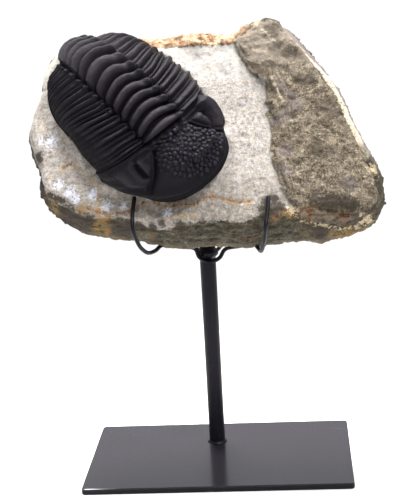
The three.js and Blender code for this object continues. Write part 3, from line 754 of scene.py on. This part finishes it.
# Matrix stone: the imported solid, remeshed finely, then broken up by layered noise
rock = {
    "weld": 0.02,
    "voxel": 0.82,
    "smoothing": 0.5,
    "smoothSteps": 6,
    "crustFloor": 14.2,
    "faceFloor": 10.5,
    "faceDropLeft": 7,
    "faceDropBelow": 5,
    "recess": 2.6,
    "edgeDrop": 1.5,
    "veinGroove": 0.5,
    # outlines and veins hold (a, b) points, and spots hold (a, b, n, radius)
    "crust": [
        (14.6, 41), (17, 34), (21, 25), (25.5, 20), (30, 19), (30, 10), (28.4, 5), (31.5, -3),
        (32, -10), (31, -18), (32.6, -25), (35, -32.5), (39.5, -42), (44, -47.5), (57, -50.5),
        (66, -52), (74, -49.5), (79.5, -45), (80, -40), (78.2, -31.5), (75, -23), (71, -14.8),
        (66.6, -3.6), (63.2, 7.2), (56.6, 19), (50, 29.5), (41, 42), (37, 49), (31, 51.5), (26, 49.5),
        (20, 45),
    ],
    "face": [
        (-30, 38), (-24, 38), (14, 38), (22, 40), (30, 30), (40, 10), (45, -20), (47, -47), (44, -47.6),
        (32.5, -43.5), (24.6, -48.4), (18.5, -51), (8, -50), (0, -49.6), (-7, -50), (-14, -51.4),
        (-21, -53.4), (-30, -53.4), (-34.6, -50.8), (-41.6, -49.4), (-48.6, -48.8), (-55.6, -45.4),
        (-64.5, -44.4), (-69, -43.4), (-74.5, -35), (-76.5, -28), (-80, -18), (-85, -3), (-83, 12),
        (-80, 30), (-64, 44),
    ],
    "lipReach": 2.9,
    "lipFade": 6.5,
    "lipPull": 0.97,
    "lipOverlap": 0.15,
    "rustVeins": [
        [(-36, -44.5), (-31.6, -42), (-29, -40.6), (-25.3, -40.9), (-22, -41), (-16.6, -42.3), (-9.3, -41.3),
         (-5.5, -41.9), (-1.1, -40), (3.3, -37.9), (9.4, -39.8), (16.8, -41.7), (20.5, -41.2)],
        [(31.4, -48.9), (33.7, -48.1), (35.6, -46.7), (39.3, -47.4), (42.5, -47), (44.8, -46.4),
         (49.9, -45.8)],
        [(49.9, -45.8), (53.9, -46.8), (58.9, -47.9), (64.3, -49.6), (67.5, -50.8)],
        [(48, -46.6), (48.4, -48.7), (47.8, -50.9)],
        [(-66.2, -22), (-63.8, -20.3), (-61.2, -20.6), (-58.7, -22.5), (-57, -23.7)],
        [(-55.1, -41.5), (-50, -43), (-46.4, -44.9), (-43, -44.9), (-39.5, -44.2), (-36.6, -44.5),
         (-34, -43)],
    ],
    "ochreVeins": [
        [(-66.2, -22), (-67.7, -24.1), (-70.8, -25.1), (-73, -26.2)],
        [(-55, -25.2), (-52.4, -28.4), (-49.8, -30.8), (-49.4, -34.7), (-49.8, -38), (-46, -41)],
        [(-50, -43), (-49.5, -34.7)],
        [(-20, -49), (-12, -47), (-4, -47.8)],
    ],
    "creamVeins": [
        [(33, 18.6), (35.2, 12.5), (38, 6.2)],
        [(29.2, 44.5), (32.7, 39.8), (35, 37.3)],
    ],
    "slate": [
        (34.4, 16.1, 17.7, 3), (38.1, 12.9, 17.6, 4), (41.2, 9.3, 17.4, 4), (43.9, 4.6, 17.4, 5),
        (38.6, -0.2, 17.4, 5), (34.3, -2.8, 17, 4), (38, -17.8, 16.8, 5), (37.7, -27.8, 17.3, 5),
        (67.2, -35.9, 17.3, 5), (45.2, -49.1, 14.5, 3.5), (52, -49.8, 14.3, 5), (57.5, -50.6, 11.7, 5),
        (64.6, -50.4, 5.5, 6), (-40.8, -47.2, 6, 5),
    ],
    "calcite": [
        (-72.1, -8.2, 15, 5), (-77.5, -7.8, 15, 2.5), (-63.7, -34, 15, 4.5), (-60.5, -37.5, 15, 4.5),
        (-68.5, -29.8, 15, 4), (-52.4, -35.2, 15, 4), (-46.1, -41.1, 15, 4.5), (-17.2, -46, 14, 4),
        (-21, -50, 14, 3), (-38, -42, 15, 3),
    ],
    "ochre": [
        (-49.5, -46.8, 3.5, 6.5), (-53.5, -46.8, -2, 4.5), (-46.5, -46.5, 6, 4.5),
        (-49, -47.7, -3.4, 5), (-71.8, -36.3, 9.3, 4.5), (-74.2, -34, 11.7, 3),
        (-58.1, -42.6, 13.5, 4.5), (-72.3, -37.9, -1.2, 4.5), (58, -53, -4, 3.4), (66, -51.5, -6, 4),
        (73, -50, -9, 3.6), (52, -53.8, -4, 2.4), (62, -52, -10.5, 3), (69, -50.5, -12.5, 3),
        (38.8, -47.5, 14, 3),
    ],
    "dark": [
        (-64.6, -42, 6, 7), (-61.5, -44, 0, 8), (-55, -44.9, 8, 4), (-79.1, -15.3, 13, 4),
        (-73, -34.5, 13, 2.6), (-70, -36.2, 13.6, 2.6), (-67, -37.4, 14.4, 2.6), (-40.6, -48, 2, 8),
        (-31.8, -48.6, 5.5, 3), (-25, -49.9, 7.3, 3), (-20.5, -49.9, 11.8, 2.6),
        (-11.9, -50.6, 11.1, 3), (29.3, -42, 14.1, 4), (32.1, -40.7, 14.2, 3.6), (33.8, -44.7, 14.3, 4),
        (31, -46.3, 14.4, 3.6), (27, -45.4, 14.2, 4), (-67.8, -41.5, -8, 7), (33.8, 44.8, 17.5, 6),
        (36.4, 35.8, 17.2, 3.2), (41, 31.6, 16.7, 3.6), (44.8, 30.7, 17.1, 3.8),
        (46.2, 17.2, 17.3, 3.6), (50.9, 17.1, 17.1, 4), (59.7, 2.1, 16.8, 6.5), (62.4, 0, 16.7, 4.5),
        (35.7, 12, 17.6, 3.6), (41.2, 8.8, 17.5, 3.2), (53.3, -17.8, 17, 5), (51, -42.6, 15.5, 4.5),
        (54.5, -43.8, 15, 5), (59, -44.2, 15, 5.5), (64, -44.8, 15, 5.5), (68, -45.8, 15.5, 4.5),
        (52, -53.1, 3.2, 4), (54.8, -53.2, -0.2, 3.5), (52.9, -54, -3.9, 3),
    ],
    "cream": [
        (40.2, -46.4, 14.4, 3.2), (42, -48.4, 14.5, 2.4), (45, -50.7, 9.3, 1.3), (47, -51.2, 9, 1.3),
        (49.2, -51.7, 8.5, 1.3), (51, -51.9, 8, 1.3), (52.9, -52, 7.6, 1.3), (54.3, -52, 6.4, 1.3),
        (55.7, -51.9, 5.2, 1.3), (58, -51.8, 3, 1.3), (60.3, -51.7, 0.7, 1.3), (62.4, -51.6, -1.5, 1.3),
        (64.7, -51.3, -2.3, 1.3), (67, -50.9, -3, 1.3), (70.5, -50.2, -4, 2), (72.1, -50.1, 12, 2.6),
        (75, -48, 1.1, 3.4), (72.7, -49.3, -0.9, 2.6), (76.2, -47.8, -2.8, 3), (77.8, -28.1, 14, 4),
        (38, 50, 16, 3), (26, 49, 15, 3),
    ],
}


def segmentDistance(points, start, end):
    dx, dy = end[0] - start[0], end[1] - start[1]
    x, y = points[:, 0] - start[0], points[:, 1] - start[1]
    t = np.clip((x * dx + y * dy) / (dx * dx + dy * dy), 0, 1)
    return np.hypot(x - t * dx, y - t * dy)


def signedDistance(points, outline):  # positive inside the outline
    nearest = np.full(len(points), 1e9)
    inside = np.zeros(len(points), bool)
    for (x0, y0), (x1, y1) in zip(outline[-1:] + outline[:-1], outline):
        nearest = np.minimum(nearest, segmentDistance(points, (x0, y0), (x1, y1)))
        if y0 != y1:
            crosses = (y0 > points[:, 1]) != (y1 > points[:, 1])
            inside ^= crosses & (points[:, 0] < x0 + (x1 - x0) * (points[:, 1] - y0) / (y1 - y0))
    return np.where(inside, nearest, -nearest)


def lineDistance(points, lines):
    pairs = [pair for line in lines for pair in zip(line, line[1:])]
    return np.min([segmentDistance(points, start, end) for start, end in pairs], axis=0)


def remeshedRock():
    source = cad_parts["rock"]
    copy = bpy.data.objects.new("matrix_rock", source.data.copy())
    bpy.context.scene.collection.objects.link(copy)
    weld = copy.modifiers.new("weld", "WELD")
    weld.merge_threshold = rock["weld"] * mm
    remesh = copy.modifiers.new("remesh", "REMESH")
    remesh.mode = "VOXEL"
    remesh.voxel_size = rock["voxel"] * mm
    relax = copy.modifiers.new("relax", "SMOOTH")
    relax.factor = rock["smoothing"]
    relax.iterations = rock["smoothSteps"]
    seen = copy.evaluated_get(bpy.context.evaluated_depsgraph_get())
    plain = bpy.data.meshes.new_from_object(seen)
    copy.modifiers.clear()
    copy.data = plain
    return copy


def spotStrength(points, spots):  # 1 in a spot's middle and 0 at its radius; spots are deeper than wide
    strongest = np.full(len(points), -2.0)
    for a, b, n, radius in spots:
        away = (points - np.array([a, b, n])) * np.array([1, 1, 0.5])
        strongest = np.maximum(strongest, 1 - np.linalg.norm(away, axis=1) / radius)
    return strongest


def meshArrays(mesh):
    points = np.empty(len(mesh.vertices) * 3)
    normals = np.empty(len(mesh.vertices) * 3)
    mesh.vertices.foreach_get("co", points)
    mesh.vertices.foreach_get("normal", normals)
    return points.reshape(-1, 3), normals.reshape(-1, 3)


def rockRegions(places):  # how far inside the crust and inside the pale face each place is
    a, b, n = places.T
    crustIn = np.minimum(signedDistance(places[:, :2], rock["crust"]), (n - rock["crustFloor"]) * 1.5)
    dropLeft = rock["faceDropLeft"] * smooth(-a, 60, 72) * smooth(b, -38, -30)
    dropBelow = rock["faceDropBelow"] * bell(a, -25, 9) * smooth(-b, 30, 40)
    edge = rock["faceFloor"] - dropLeft - dropBelow
    faceIn = np.minimum(signedDistance(places[:, :2], rock["face"]), (n - edge) * 1.5)
    return crustIn, faceIn


def rockRelief(places, crustIn, faceIn):
    a, b, n = places.T
    isCrust = smooth(crustIn, -0.6, 0.8)
    isFace = smooth(faceIn, -1.5, 1.5) * (1 - isCrust)
    isRim = 1 - np.maximum(isCrust, isFace)
    front = smooth(n, 4, 12)
    flatNoise = 0.16 * layeredNoise(places, 9, 3, 11) + 0.1 * layeredNoise(places, 1.8, 3, 12)
    scars = -0.35 * smooth(layeredNoise(places, 4.5, 2, 13), 0.45, 0.9)
    groove = rock["veinGroove"] * bell(lineDistance(places[:, :2], rock["rustVeins"][:3]), 0, 0.9)
    chips = chippedNoise(places * np.array([1, 1, 1.6]), 8, 41)
    smallChips = chippedNoise(places * np.array([1, 1, 2.2]), 3.4, 57)
    slanted = places @ np.array([[0.5, -0.5, 0], [0.25, 0.25, 0], [0, 0, 1]])
    ridges = 1 - np.abs(layeredNoise(slanted, 3.2, 3, 71))
    crustNoise = 0.85 * chips + 0.55 * smallChips + 0.6 * (ridges - 0.6)
    crustNoise = crustNoise + 0.3 * layeredNoise(places, 1.9, 3, 73)
    beds = layeredNoise(places * np.array([0.09, 0.09, 1.0]), 1.7, 3, 81)
    beds = np.sign(beds) * np.abs(beds) ** 0.7
    rimNoise = 1.0 * chips + 0.75 * smallChips + 0.55 * beds + 0.35 * layeredNoise(places, 1.9, 3, 83)
    rimNoise = rimNoise * (0.75 + 0.25 * front)
    rimNoise = rimNoise * (1 - 0.55 * smooth(a, 32, 42) * smooth(b, -30, -15) * front)
    nearEdge = (1 - smooth(crustIn, 0.5, 7)) * isCrust
    drop = rock["edgeDrop"] * nearEdge * (1 - smooth(a, 36, 46)) * smooth(b, -48, -40)
    recess = rock["recess"] * smooth(-b, 43.5, 48) * bell(a, 57, 17) * smooth(n, 6, 13)
    broken = isFace * (flatNoise + scars - groove) + isCrust * crustNoise + isRim * rimNoise
    return broken - recess - drop


def pressLip(points, fossilTree):  # draw the stone in to meet the fossil, with no gap along its margin
    for i, point in enumerate(points):
        near, normal, face, distance = fossilTree.find_nearest(Vector(point), rock["lipFade"] * mm)
        if near is None:
            continue
        pull = rock["lipPull"] * (1 - smooth(distance / mm, rock["lipReach"], rock["lipFade"]))
        points[i] += (np.array(near - normal * rock["lipOverlap"] * mm) - point) * pull
    return points


def makeRock(material):
    piece = remeshedRock()
    points, normals = meshArrays(piece.data)
    places = worldToSlab(points)
    crustIn, faceIn = rockRegions(places)
    moved = points + normals * (rockRelief(places, crustIn, faceIn) * mm)[:, None]
    solid = BVHTree.FromObject(skin, bpy.context.evaluated_depsgraph_get())
    moved = pressLip(moved, solid)
    piece.data.vertices.foreach_set("co", moved.ravel())
    places = worldToSlab(moved)
    crustIn, faceIn = rockRegions(places)
    layers = {"crustIn": crustIn, "faceIn": faceIn}
    for name in ("rust", "ochre", "cream"):
        layers[name + "Near"] = lineDistance(places[:, :2], rock[name + "Veins"])
    for name in ("calcite", "ochre", "dark", "cream", "slate"):
        layers[name] = spotStrength(places, rock[name])
    for name, values in layers.items():
        writeLayer(piece.data, name, values)
    piece.data.polygons.foreach_set("use_smooth", [True] * len(piece.data.polygons))
    piece.data.materials.clear()
    piece.data.materials.append(material)
    piece.data.update()
    return piece


def stoneFields(place):  # the noises and regions that the stone's colours share
    a, b, n = (place.part(axis) for axis in range(3))
    moved = place.node("ShaderNodeMapping", {}, {"Vector": place, "Location": (31, 17, 5)})
    middle = place.noise(4.5, 5, 0.62)
    fine = place.noise(1.5, 6, 0.8)
    specks = moved.noise(1.3, 4, 0.75)
    ragged = fine * 0.5 + middle * 0.5 - 0.5
    broken = (specks + fine - 1) * 7
    crustIn = readLayer(place, "crustIn")
    return SimpleNamespace(
        place=place, moved=moved, a=a, b=b, n=n, middle=middle, fine=fine, specks=specks,
        dots=moved.noise(0.8, 3, 0.7), flecks=moved.noise(2.4, 5, 0.75), patches=moved.noise(9, 5, 0.7),
        ragged=ragged, broken=broken, nearEdge=crustIn + ragged * 9,
        crust=(crustIn + ragged * 7).rising(-0.35, 0.35),
        face=(readLayer(place, "faceIn") + ragged * 8).rising(-0.5, 0.6),
        slate=(readLayer(place, "slate") * 1.3 + broken * 0.35).rising(0, 0.9))


def paleFace(at):  # prepared face: warm white, speckled with blue-grey, ochre and a few dark grains
    pale = (at.fine * 0.8 + at.middle * 0.2).ramp(
        (0.38, tone(114, 108, 104)), (0.46, tone(157, 150, 143)), (0.53, tone(180, 173, 165)),
        (0.62, tone(201, 197, 192)))
    # Greyer olive towards the bottom: partly the stone's own stain, partly painted shade.
    lower = at.b.rising(-22, -44) * 0.65
    calcite = (readLayer(at.place, "calcite") * 1.6 + at.broken * 0.6).rising(0.35, 1.3)
    for factor, colour in (
            (at.dots.rising(0.54, 0.64) * 0.65, (106, 112, 138)),
            (at.specks.rising(0.54, 0.64) * 0.6, (188, 158, 106)),
            (at.flecks.rising(0.57, 0.67) * 0.5, (108, 112, 134)),
            # Whiter towards the top: painted light from above.
            (at.b.rising(8, 32) * 0.4 * at.patches.rising(0.3, 0.5), (222, 219, 213)),
            (lower * (0.35 + 0.65 * at.flecks.rising(0.42, 0.56)), (104, 96, 82)),
            (at.a.rising(-35, -60) * at.flecks.rising(0.4, 0.6) * 0.2, (150, 136, 112)),
            (at.fine.rising(0.38, 0.32) * 0.6, (70, 64, 62)),
            (calcite * 0.85, (216, 219, 232))):
        pale = pale.over(factor, tone(*colour))
    return pale


def brownCrust(at):  # olive and grey-brown, full of fine scratches that cross each other, and its height
    drift = at.moved.node("ShaderNodeTexNoise", {}, {"Vector": at.moved, "Scale": 1 / 22, "Detail": 1.0}, 1)
    swirled = at.place.node("ShaderNodeVectorMath", {"operation": "MULTIPLY_ADD"}, {
        0: drift, 1: (34, 34, 0), 2: at.place})
    fibres = swirled.stretched((1, 5, 1), (0, 0, 35)).noise(0.75, 4, 0.75, 0.8)
    crossing = swirled.stretched((1, 4.5, 1), (0, 0, -52)).noise(0.8, 4, 0.75, 0.8)
    ridges = swirled.stretched((1, 2.4, 1), (0, 0, 62)).noise(4.2, 6, 0.72, 0.6)
    scars = swirled.stretched((1, 14, 1), (0, 0, 24)).noise(1.1, 3, 0.6, 0.5)
    brown = (at.fine * 0.44 + fibres * 0.2 + crossing * 0.18 + ridges * 0.18).ramp(
        (0.4, tone(50, 43, 35)), (0.47, tone(89, 78, 65)), (0.53, tone(121, 109, 93)),
        (0.61, tone(168, 157, 138)))
    for factor, colour in (
            (fibres.rising(0.6, 0.67) * 0.55, (192, 180, 152)),
            (crossing.rising(0.61, 0.68) * 0.5, (196, 190, 172)),
            (scars.rising(0.7, 0.74) * 0.6, (208, 202, 188)),
            (ridges.rising(0.41, 0.33) * 0.5, (44, 38, 31)),
            (at.dots.rising(0.55, 0.63) * 0.5, (190, 178, 146)),
            (at.dots.rising(0.44, 0.37) * 0.5, (46, 40, 34)),
            (at.flecks.rising(0.57, 0.68) * 0.45, (98, 95, 106)),
            (at.patches.rising(0.56, 0.68) * 0.35, (62, 54, 40)),
            (at.b.rising(14, 36) * (0.25 + 0.3 * at.patches.rising(0.4, 0.56)), (164, 152, 138)),
            (at.slate * 0.5, (112, 104, 106))):
        brown = brown.over(factor, tone(*colour))
    return brown, fibres * 0.3 + crossing * 0.25 + ridges * 0.7


def brokenRim(at, beds):  # dark olive beds with ochre and rust, orange at the top
    rim = (at.fine * 0.4 + at.middle * 0.3 + beds * 0.3).ramp(
        (0.38, tone(24, 22, 19)), (0.46, tone(52, 48, 39)), (0.53, tone(80, 74, 60)),
        (0.64, tone(132, 122, 100)))
    rim = rim.over(at.patches.rising(0.56, 0.66) * at.flecks.rising(0.4, 0.6) * 0.8, tone(122, 92, 48))
    rim = rim.over(at.fine.rising(0.62, 0.7) * 0.4, tone(160, 152, 132))
    rim = rim.over(at.n.rising(-6, -15) * 0.6, tone(122, 110, 90))
    orange = (at.middle * 0.5 + at.fine * 0.5).ramp(
        (0.4, tone(84, 60, 44)), (0.48, tone(168, 128, 96)), (0.55, tone(200, 174, 142)),
        (0.64, tone(216, 208, 192)))
    upper = (at.b + at.ragged * 12).rising(34, 42) * (at.a + at.ragged * 8).rising(25, 17)
    outer = at.nearEdge.rising(-2, -4) * at.a.rising(34, 40) * at.b.rising(-30, -10) * at.n.rising(2, 8)
    return rim.over(upper * at.n.rising(-4, 6) * 0.9, orange).over(outer * 0.6, tone(150, 138, 136))


def creamStrip(at):  # the pale layer that shows along the crust's right edge
    strip = at.nearEdge.rising(0.1, -0.6) * at.nearEdge.rising(-3.8, -3.1) * at.a.rising(36, 40)
    strip = strip * at.n.rising(7, 10) * at.specks.rising(0.36, 0.45)
    upward = (at.b + at.ragged * 22).rising(-24, -10)
    return strip * upward * (1 - 0.45 * (at.b + at.ragged * 16).rising(28, 34))


def stained(colour, at):  # ochre, rust, dark and cream spots and veins, from the stone's layers
    layer = {name: readLayer(at.place, name) for name in
             ("ochre", "ochreNear", "rustNear", "dark", "cream", "creamNear")}
    ochre = (layer["ochre"] * 2 + at.broken * 0.9 + at.ragged * 3).rising(0.2, 1.3)
    ochreTone = at.flecks.rising(0.42, 0.58).blend(tone(104, 92, 46), tone(154, 112, 62))
    ochreLine = (layer["ochreNear"] + at.ragged * 7).rising(1.3, 0.1) * at.face
    rust = layer["rustNear"] + at.ragged * 8
    halo = rust.rising(3, 0.4) * at.n.rising(6, 9) * at.flecks.rising(0.42, 0.6)
    rustLine = rust.rising(0.85, 0.05) * at.n.rising(6, 9) * at.flecks.rising(0.38, 0.54)
    rustTone = at.specks.rising(0.45, 0.58).blend(tone(66, 42, 28), tone(160, 96, 48))
    dark = (layer["dark"] * 2 + at.broken * 0.6).rising(0.1, 1.0)
    cream = (layer["cream"] * 1.4 + at.broken * 0.6).rising(0.3, 1.0)
    creamLine = (layer["creamNear"] + at.ragged * 6).rising(0.8, 0.1) * at.n.rising(4, 7)
    for factor, stain in (
            (ochre * 0.76, ochreTone),
            (ochreLine * at.specks.rising(0.42, 0.54) * 0.75, tone(166, 132, 60)),
            (halo * 0.5, tone(170, 136, 88)),
            (rustLine * 0.85, rustTone),
            (dark * (0.96 - 0.34 * at.crust * at.b.rising(-40, -25)), tone(60, 53, 44)),
            (cream * 0.8, tone(204, 186, 152)),
            (creamLine * at.specks.rising(0.4, 0.52) * 0.8, tone(208, 194, 164))):
        colour = colour.over(factor, stain)
    return colour


def makeRockMaterial():
    material, shader, objectPlace = newMaterial("matrixStone")
    place = objectPlace.node("ShaderNodeMapping", {"vector_type": "TEXTURE"}, {
        "Vector": objectPlace, "Location": [c * mm for c in slab["centre"]],
        "Rotation": (math.radians(90 - slab["lean"]), 0, 0), "Scale": (mm, mm, mm)})
    at = stoneFields(place)
    beds = place.stretched((6, 6, 1)).noise(1.7, 6, 0.78, 0.9)
    strip = creamStrip(at) * 0.9
    brown, crustHeight = brownCrust(at)
    rim = brokenRim(at, beds).over(strip, tone(212, 198, 176))
    rim = rim.over(at.slate * at.n.rising(4, 8) * 0.8, tone(120, 108, 100))
    colour = rim.over(at.face, paleFace(at)).over(at.crust, brown.over(strip, tone(212, 198, 176)))
    height = at.fine * 0.6 + at.dots * 0.2 + at.middle * 0.2
    height = height + at.crust * crustHeight + beds * 0.5 * (1 - at.face)
    finishMaterial(shader, stained(colour, at), 0.72 + 0.2 * at.fine, height, 0.0011, 1.0)
    shader.inputs["Specular IOR Level"].default_value = 0.25
    return material


stoneMaterial = makeRockMaterial()
matrixRock = makeRock(stoneMaterial)
finishPiece(matrixRock, "matrix_stone", "rock")
print("rock made:", len(matrixRock.data.polygons), "faces")

# Stand: plate, post and two wires
stand = {
    "plate": {"length": 130, "depth": 80, "thickness": 3, "corner": 2, "cornerSteps": 8, "bevel": 0.45,
              "rim": 0.6},
    "post": {"x": -2.5, "y": 15.7, "radius": 4, "top": 107, "sides": 72},
    "weld": {"radius": 4.7, "height": 0.9, "rings": 5},
    "topWeld": {"radius": 5.1, "from": 101.2, "to": 105.6, "rings": 9},
    "wire": {"radius": 1.0, "gap": 0.3, "sides": 20, "perSpan": 10, "tip": 0.35, "tipShare": 0.72},
    "wirePaint": {"sheen": 0.3, "gloss": 0.14},
    "platePaint": {"sheen": 0.42, "gloss": 0.16, "coat": 0.92, "coatRoughness": 0.17,
                   "coatFrom": 2.2, "coatFull": 2.7},
}
frontY = stand["post"]["y"] - stand["post"]["radius"] - stand["wire"]["gap"] - stand["wire"]["radius"]
rearY = stand["post"]["y"] + stand["post"]["radius"] + stand["wire"]["gap"] + stand["wire"]["radius"]

hookRoute = [
    (-32.4, -20.3, 140.4), (-33.5, -24.2, 132.5), (-33.4, -27, 126), (-32.4, -22.3, 119.4),
    (-31.3, -18, 115.1), (-28.9, -12, 111.1), (-26.2, -5, 110.2), (-23.2, 3.4, 110.8),
    (-17.1, 7, 109.1), (-8.1, frontY, 106.6), (-6.2, frontY, 102.3), (-1.6, frontY, 99.8),
    (3.6, frontY, 101.6), (6.6, frontY, 105.8), (14.2, 7, 108.1), (20.6, 2.8, 110.4), (23.3, -5, 109.8),
    (24.9, -12, 110), (26.4, -19, 115.1), (27.4, -25, 121.3), (27.9, -28, 125.8), (28.7, -25.4, 130.3),
    (29.7, -20.7, 138.4),
]
restRoute = [
    (-22, 35.3, 165.8), (-20.5, 32.3, 160.6), (-17.5, 28.3, 153.7), (-14, 24.4, 146.8),
    (-11.4, rearY + 0.2, 138), (-10.8, rearY, 126), (-10.6, rearY, 112), (-8.4, rearY, 104.4),
    (-2.5, rearY, 101.2), (3.4, rearY, 104.4), (5.6, rearY, 112), (5.8, rearY, 126),
    (6.6, rearY + 0.2, 138), (10, 24.4, 146.8), (15.5, 28.3, 153.7), (20, 32.3, 160.6),
    (22, 35.3, 165.8),
]


def smoothRoute(route, perSpan):  # a centripetal curve through the route's points
    given = np.array(route, float)
    padded = np.concatenate([[2 * given[0] - given[1]], given, [2 * given[-1] - given[-2]]])
    out = []
    for i in range(1, len(padded) - 2):
        p0, p1, p2, p3 = padded[i - 1:i + 3]
        t0 = 0.0
        t1 = t0 + np.linalg.norm(p1 - p0) ** 0.5
        t2 = t1 + np.linalg.norm(p2 - p1) ** 0.5
        t3 = t2 + np.linalg.norm(p3 - p2) ** 0.5
        for t in np.linspace(t1, t2, perSpan, endpoint=False):
            a1 = (t1 - t) / (t1 - t0) * p0 + (t - t0) / (t1 - t0) * p1
            a2 = (t2 - t) / (t2 - t1) * p1 + (t - t1) / (t2 - t1) * p2
            a3 = (t3 - t) / (t3 - t2) * p2 + (t - t2) / (t3 - t2) * p3
            b1 = (t2 - t) / (t2 - t0) * a1 + (t - t0) / (t2 - t0) * a2
            b2 = (t3 - t) / (t3 - t1) * a2 + (t - t1) / (t3 - t1) * a3
            out.append((t2 - t) / (t2 - t1) * b1 + (t - t1) / (t2 - t1) * b2)
    out.append(given[-1])
    return np.array(out)


def stackRings(rings):  # rings of points joined wall by wall, closed at both ends
    count = len(rings[0])
    points = np.concatenate(rings)
    faces = []
    for i in range(len(rings) - 1):
        for j in range(count):
            k = (j + 1) % count
            faces.append((i * count + j, i * count + k, (i + 1) * count + k, (i + 1) * count + j))
    faces.append(tuple(range(count))[::-1])
    last = (len(rings) - 1) * count
    faces.append(tuple(range(last, last + count)))
    return points, faces


def makeWire(name, route, material):
    wire = stand["wire"]
    path = smoothRoute(route, wire["perSpan"])
    ahead = np.gradient(path, axis=0)
    ahead /= np.linalg.norm(ahead, axis=1, keepdims=True)
    side = np.cross(ahead[0], [1, 0, 0])
    side /= np.linalg.norm(side)
    rings = []
    angles = np.linspace(0, 2 * np.pi, wire["sides"], endpoint=False)
    reach = np.concatenate([[0], np.cumsum(np.linalg.norm(np.diff(path, axis=0), axis=1))])
    for point, forward, gone in zip(path, ahead, reach):
        side = side - forward * side.dot(forward)
        side /= np.linalg.norm(side)
        other = np.cross(forward, side)
        full = min(1, min(gone, reach[-1] - gone) / wire["tip"]) ** 0.5
        radius = wire["radius"] * (wire["tipShare"] + (1 - wire["tipShare"]) * full)
        rings.append(point + radius * (np.cos(angles)[:, None] * side + np.sin(angles)[:, None] * other))
    points, faces = stackRings(rings)
    return meshObject(name, points * mm, faces, material)


def makePost(material):
    post = stand["post"]
    weld = stand["weld"]
    plateTop = stand["plate"]["thickness"]
    angles = np.linspace(0, 2 * np.pi, post["sides"], endpoint=False)
    levels = []
    for t in np.linspace(0, 1, weld["rings"]):
        spread = weld["radius"] - (weld["radius"] - post["radius"]) * t ** 1.6
        levels.append((plateTop + weld["height"] * t, spread, 1 - t))
    topWeld = stand["topWeld"]
    for z in np.linspace(plateTop + weld["height"] + 1, topWeld["from"] - 0.6, 12):
        levels.append((z, post["radius"], 0))
    for t in np.linspace(0, 1, topWeld["rings"]):
        bead = math.sin(math.pi * t) ** 0.6 if 0 < t < 1 else 0
        z = topWeld["from"] + (topWeld["to"] - topWeld["from"]) * t
        levels.append((z, post["radius"] + (topWeld["radius"] - post["radius"]) * bead, bead))
    levels += [(post["top"] - 0.3, post["radius"] - 0.1, 0), (post["top"], post["radius"] - 0.5, 0)]
    outward = np.stack([np.cos(angles), np.sin(angles), np.zeros_like(angles)], 1)
    rings = []
    for z, radius, bead in levels:
        around = outward * 3 + np.array([0, 0, z])
        lump = bead * (0.55 * softNoise(around, 5) + 0.3 * softNoise(around * 2.3, 6))
        rings.append(outward * (radius + lump)[:, None] + np.array([post["x"], post["y"], z]))
    points, faces = stackRings(rings)
    return meshObject("round_post", points * mm, faces, material)


def makePlate(material):
    plate = stand["plate"]
    bevel = plate["bevel"]
    top = plate["thickness"]
    x = plate["length"] / 2 - plate["corner"]
    y = plate["depth"] / 2 - plate["corner"]
    corners = ((x, -y, -math.pi / 2), (x, y, 0), (-x, y, math.pi / 2), (-x, -y, math.pi))
    rings = []
    for z, inset in ((0, bevel), (bevel * 0.3, bevel * 0.3), (bevel, 0), (top - bevel, 0),
                     (top - bevel * 0.3, bevel * 0.3), (top, bevel), (top, bevel + plate["rim"])):
        radius = plate["corner"] - inset
        ring = []
        for cx, cy, start in corners:
            for angle in np.linspace(start, start + math.pi / 2, plate["cornerSteps"] + 1):
                ring.append((cx + radius * math.cos(angle), cy + radius * math.sin(angle), z))
        rings.append(np.array(ring))
    points, faces = stackRings(rings)
    return meshObject("base_plate_painted", points * mm, faces, material, False)


def makePaint(name, look):
    material, shader, place = newMaterial(name)
    broad = place.noise(0.02, 3)
    peel = place.noise(0.0011, 3, 0.5)
    dust = place.cells(0.0022).rising(0.13, 0.06) * place.noise(0.012, 2).rising(0.42, 0.6)
    colour = broad.ramp((0.3, tone(11, 10, 14)), (0.7, tone(20, 19, 24)))
    colour = colour.over(dust * 0.3, tone(110, 108, 106))
    if "coat" in look:  # a clear coat on the plate's top, with fine grain and wisps
        coat = place.part(2).rising(look["coatFrom"] * mm, look["coatFull"] * mm) * look["coat"]
        shader.id_data.links.new(coat.socket, shader.inputs["Coat Weight"])
        shader.inputs["Coat Roughness"].default_value = look["coatRoughness"]
        shader.inputs["Coat Tint"].default_value = (0.97, 0.93, 1, 1)
        wisp = place.stretched((1, 30, 1), (0, 0, 74)).noise(0.0013, 3, 0.6).rising(0.72, 0.78)
        colour = colour.over(place.noise(0.0008, 3, 0.7).rising(0.5, 0.7) * 0.5, tone(40, 37, 46))
        colour = colour.over(wisp * 0.25, tone(140, 140, 142))
    finishMaterial(shader, colour, look["sheen"] + 0.1 * broad + 0.08 * peel, peel, 0.00006, 0.5)
    shader.inputs["Specular IOR Level"].default_value = look["gloss"]
    shader.inputs["Specular Tint"].default_value = (0.96, 0.91, 1, 1)
    return material


wirePaint = makePaint("satinBlackWire", stand["wirePaint"])
platePaint = makePaint("satinBlackPlate", stand["platePaint"])
finishPiece(makeWire("front_hook_wire", hookRoute, wirePaint), "stand_paint", "hook_wire")
finishPiece(makeWire("rear_rest_wire", restRoute, wirePaint), "stand_paint", "rest_wire")
finishPiece(makePost(wirePaint), "stand_paint", "post")
finishPiece(makePlate(platePaint), "stand_paint", "base_plate")
print("stand made")
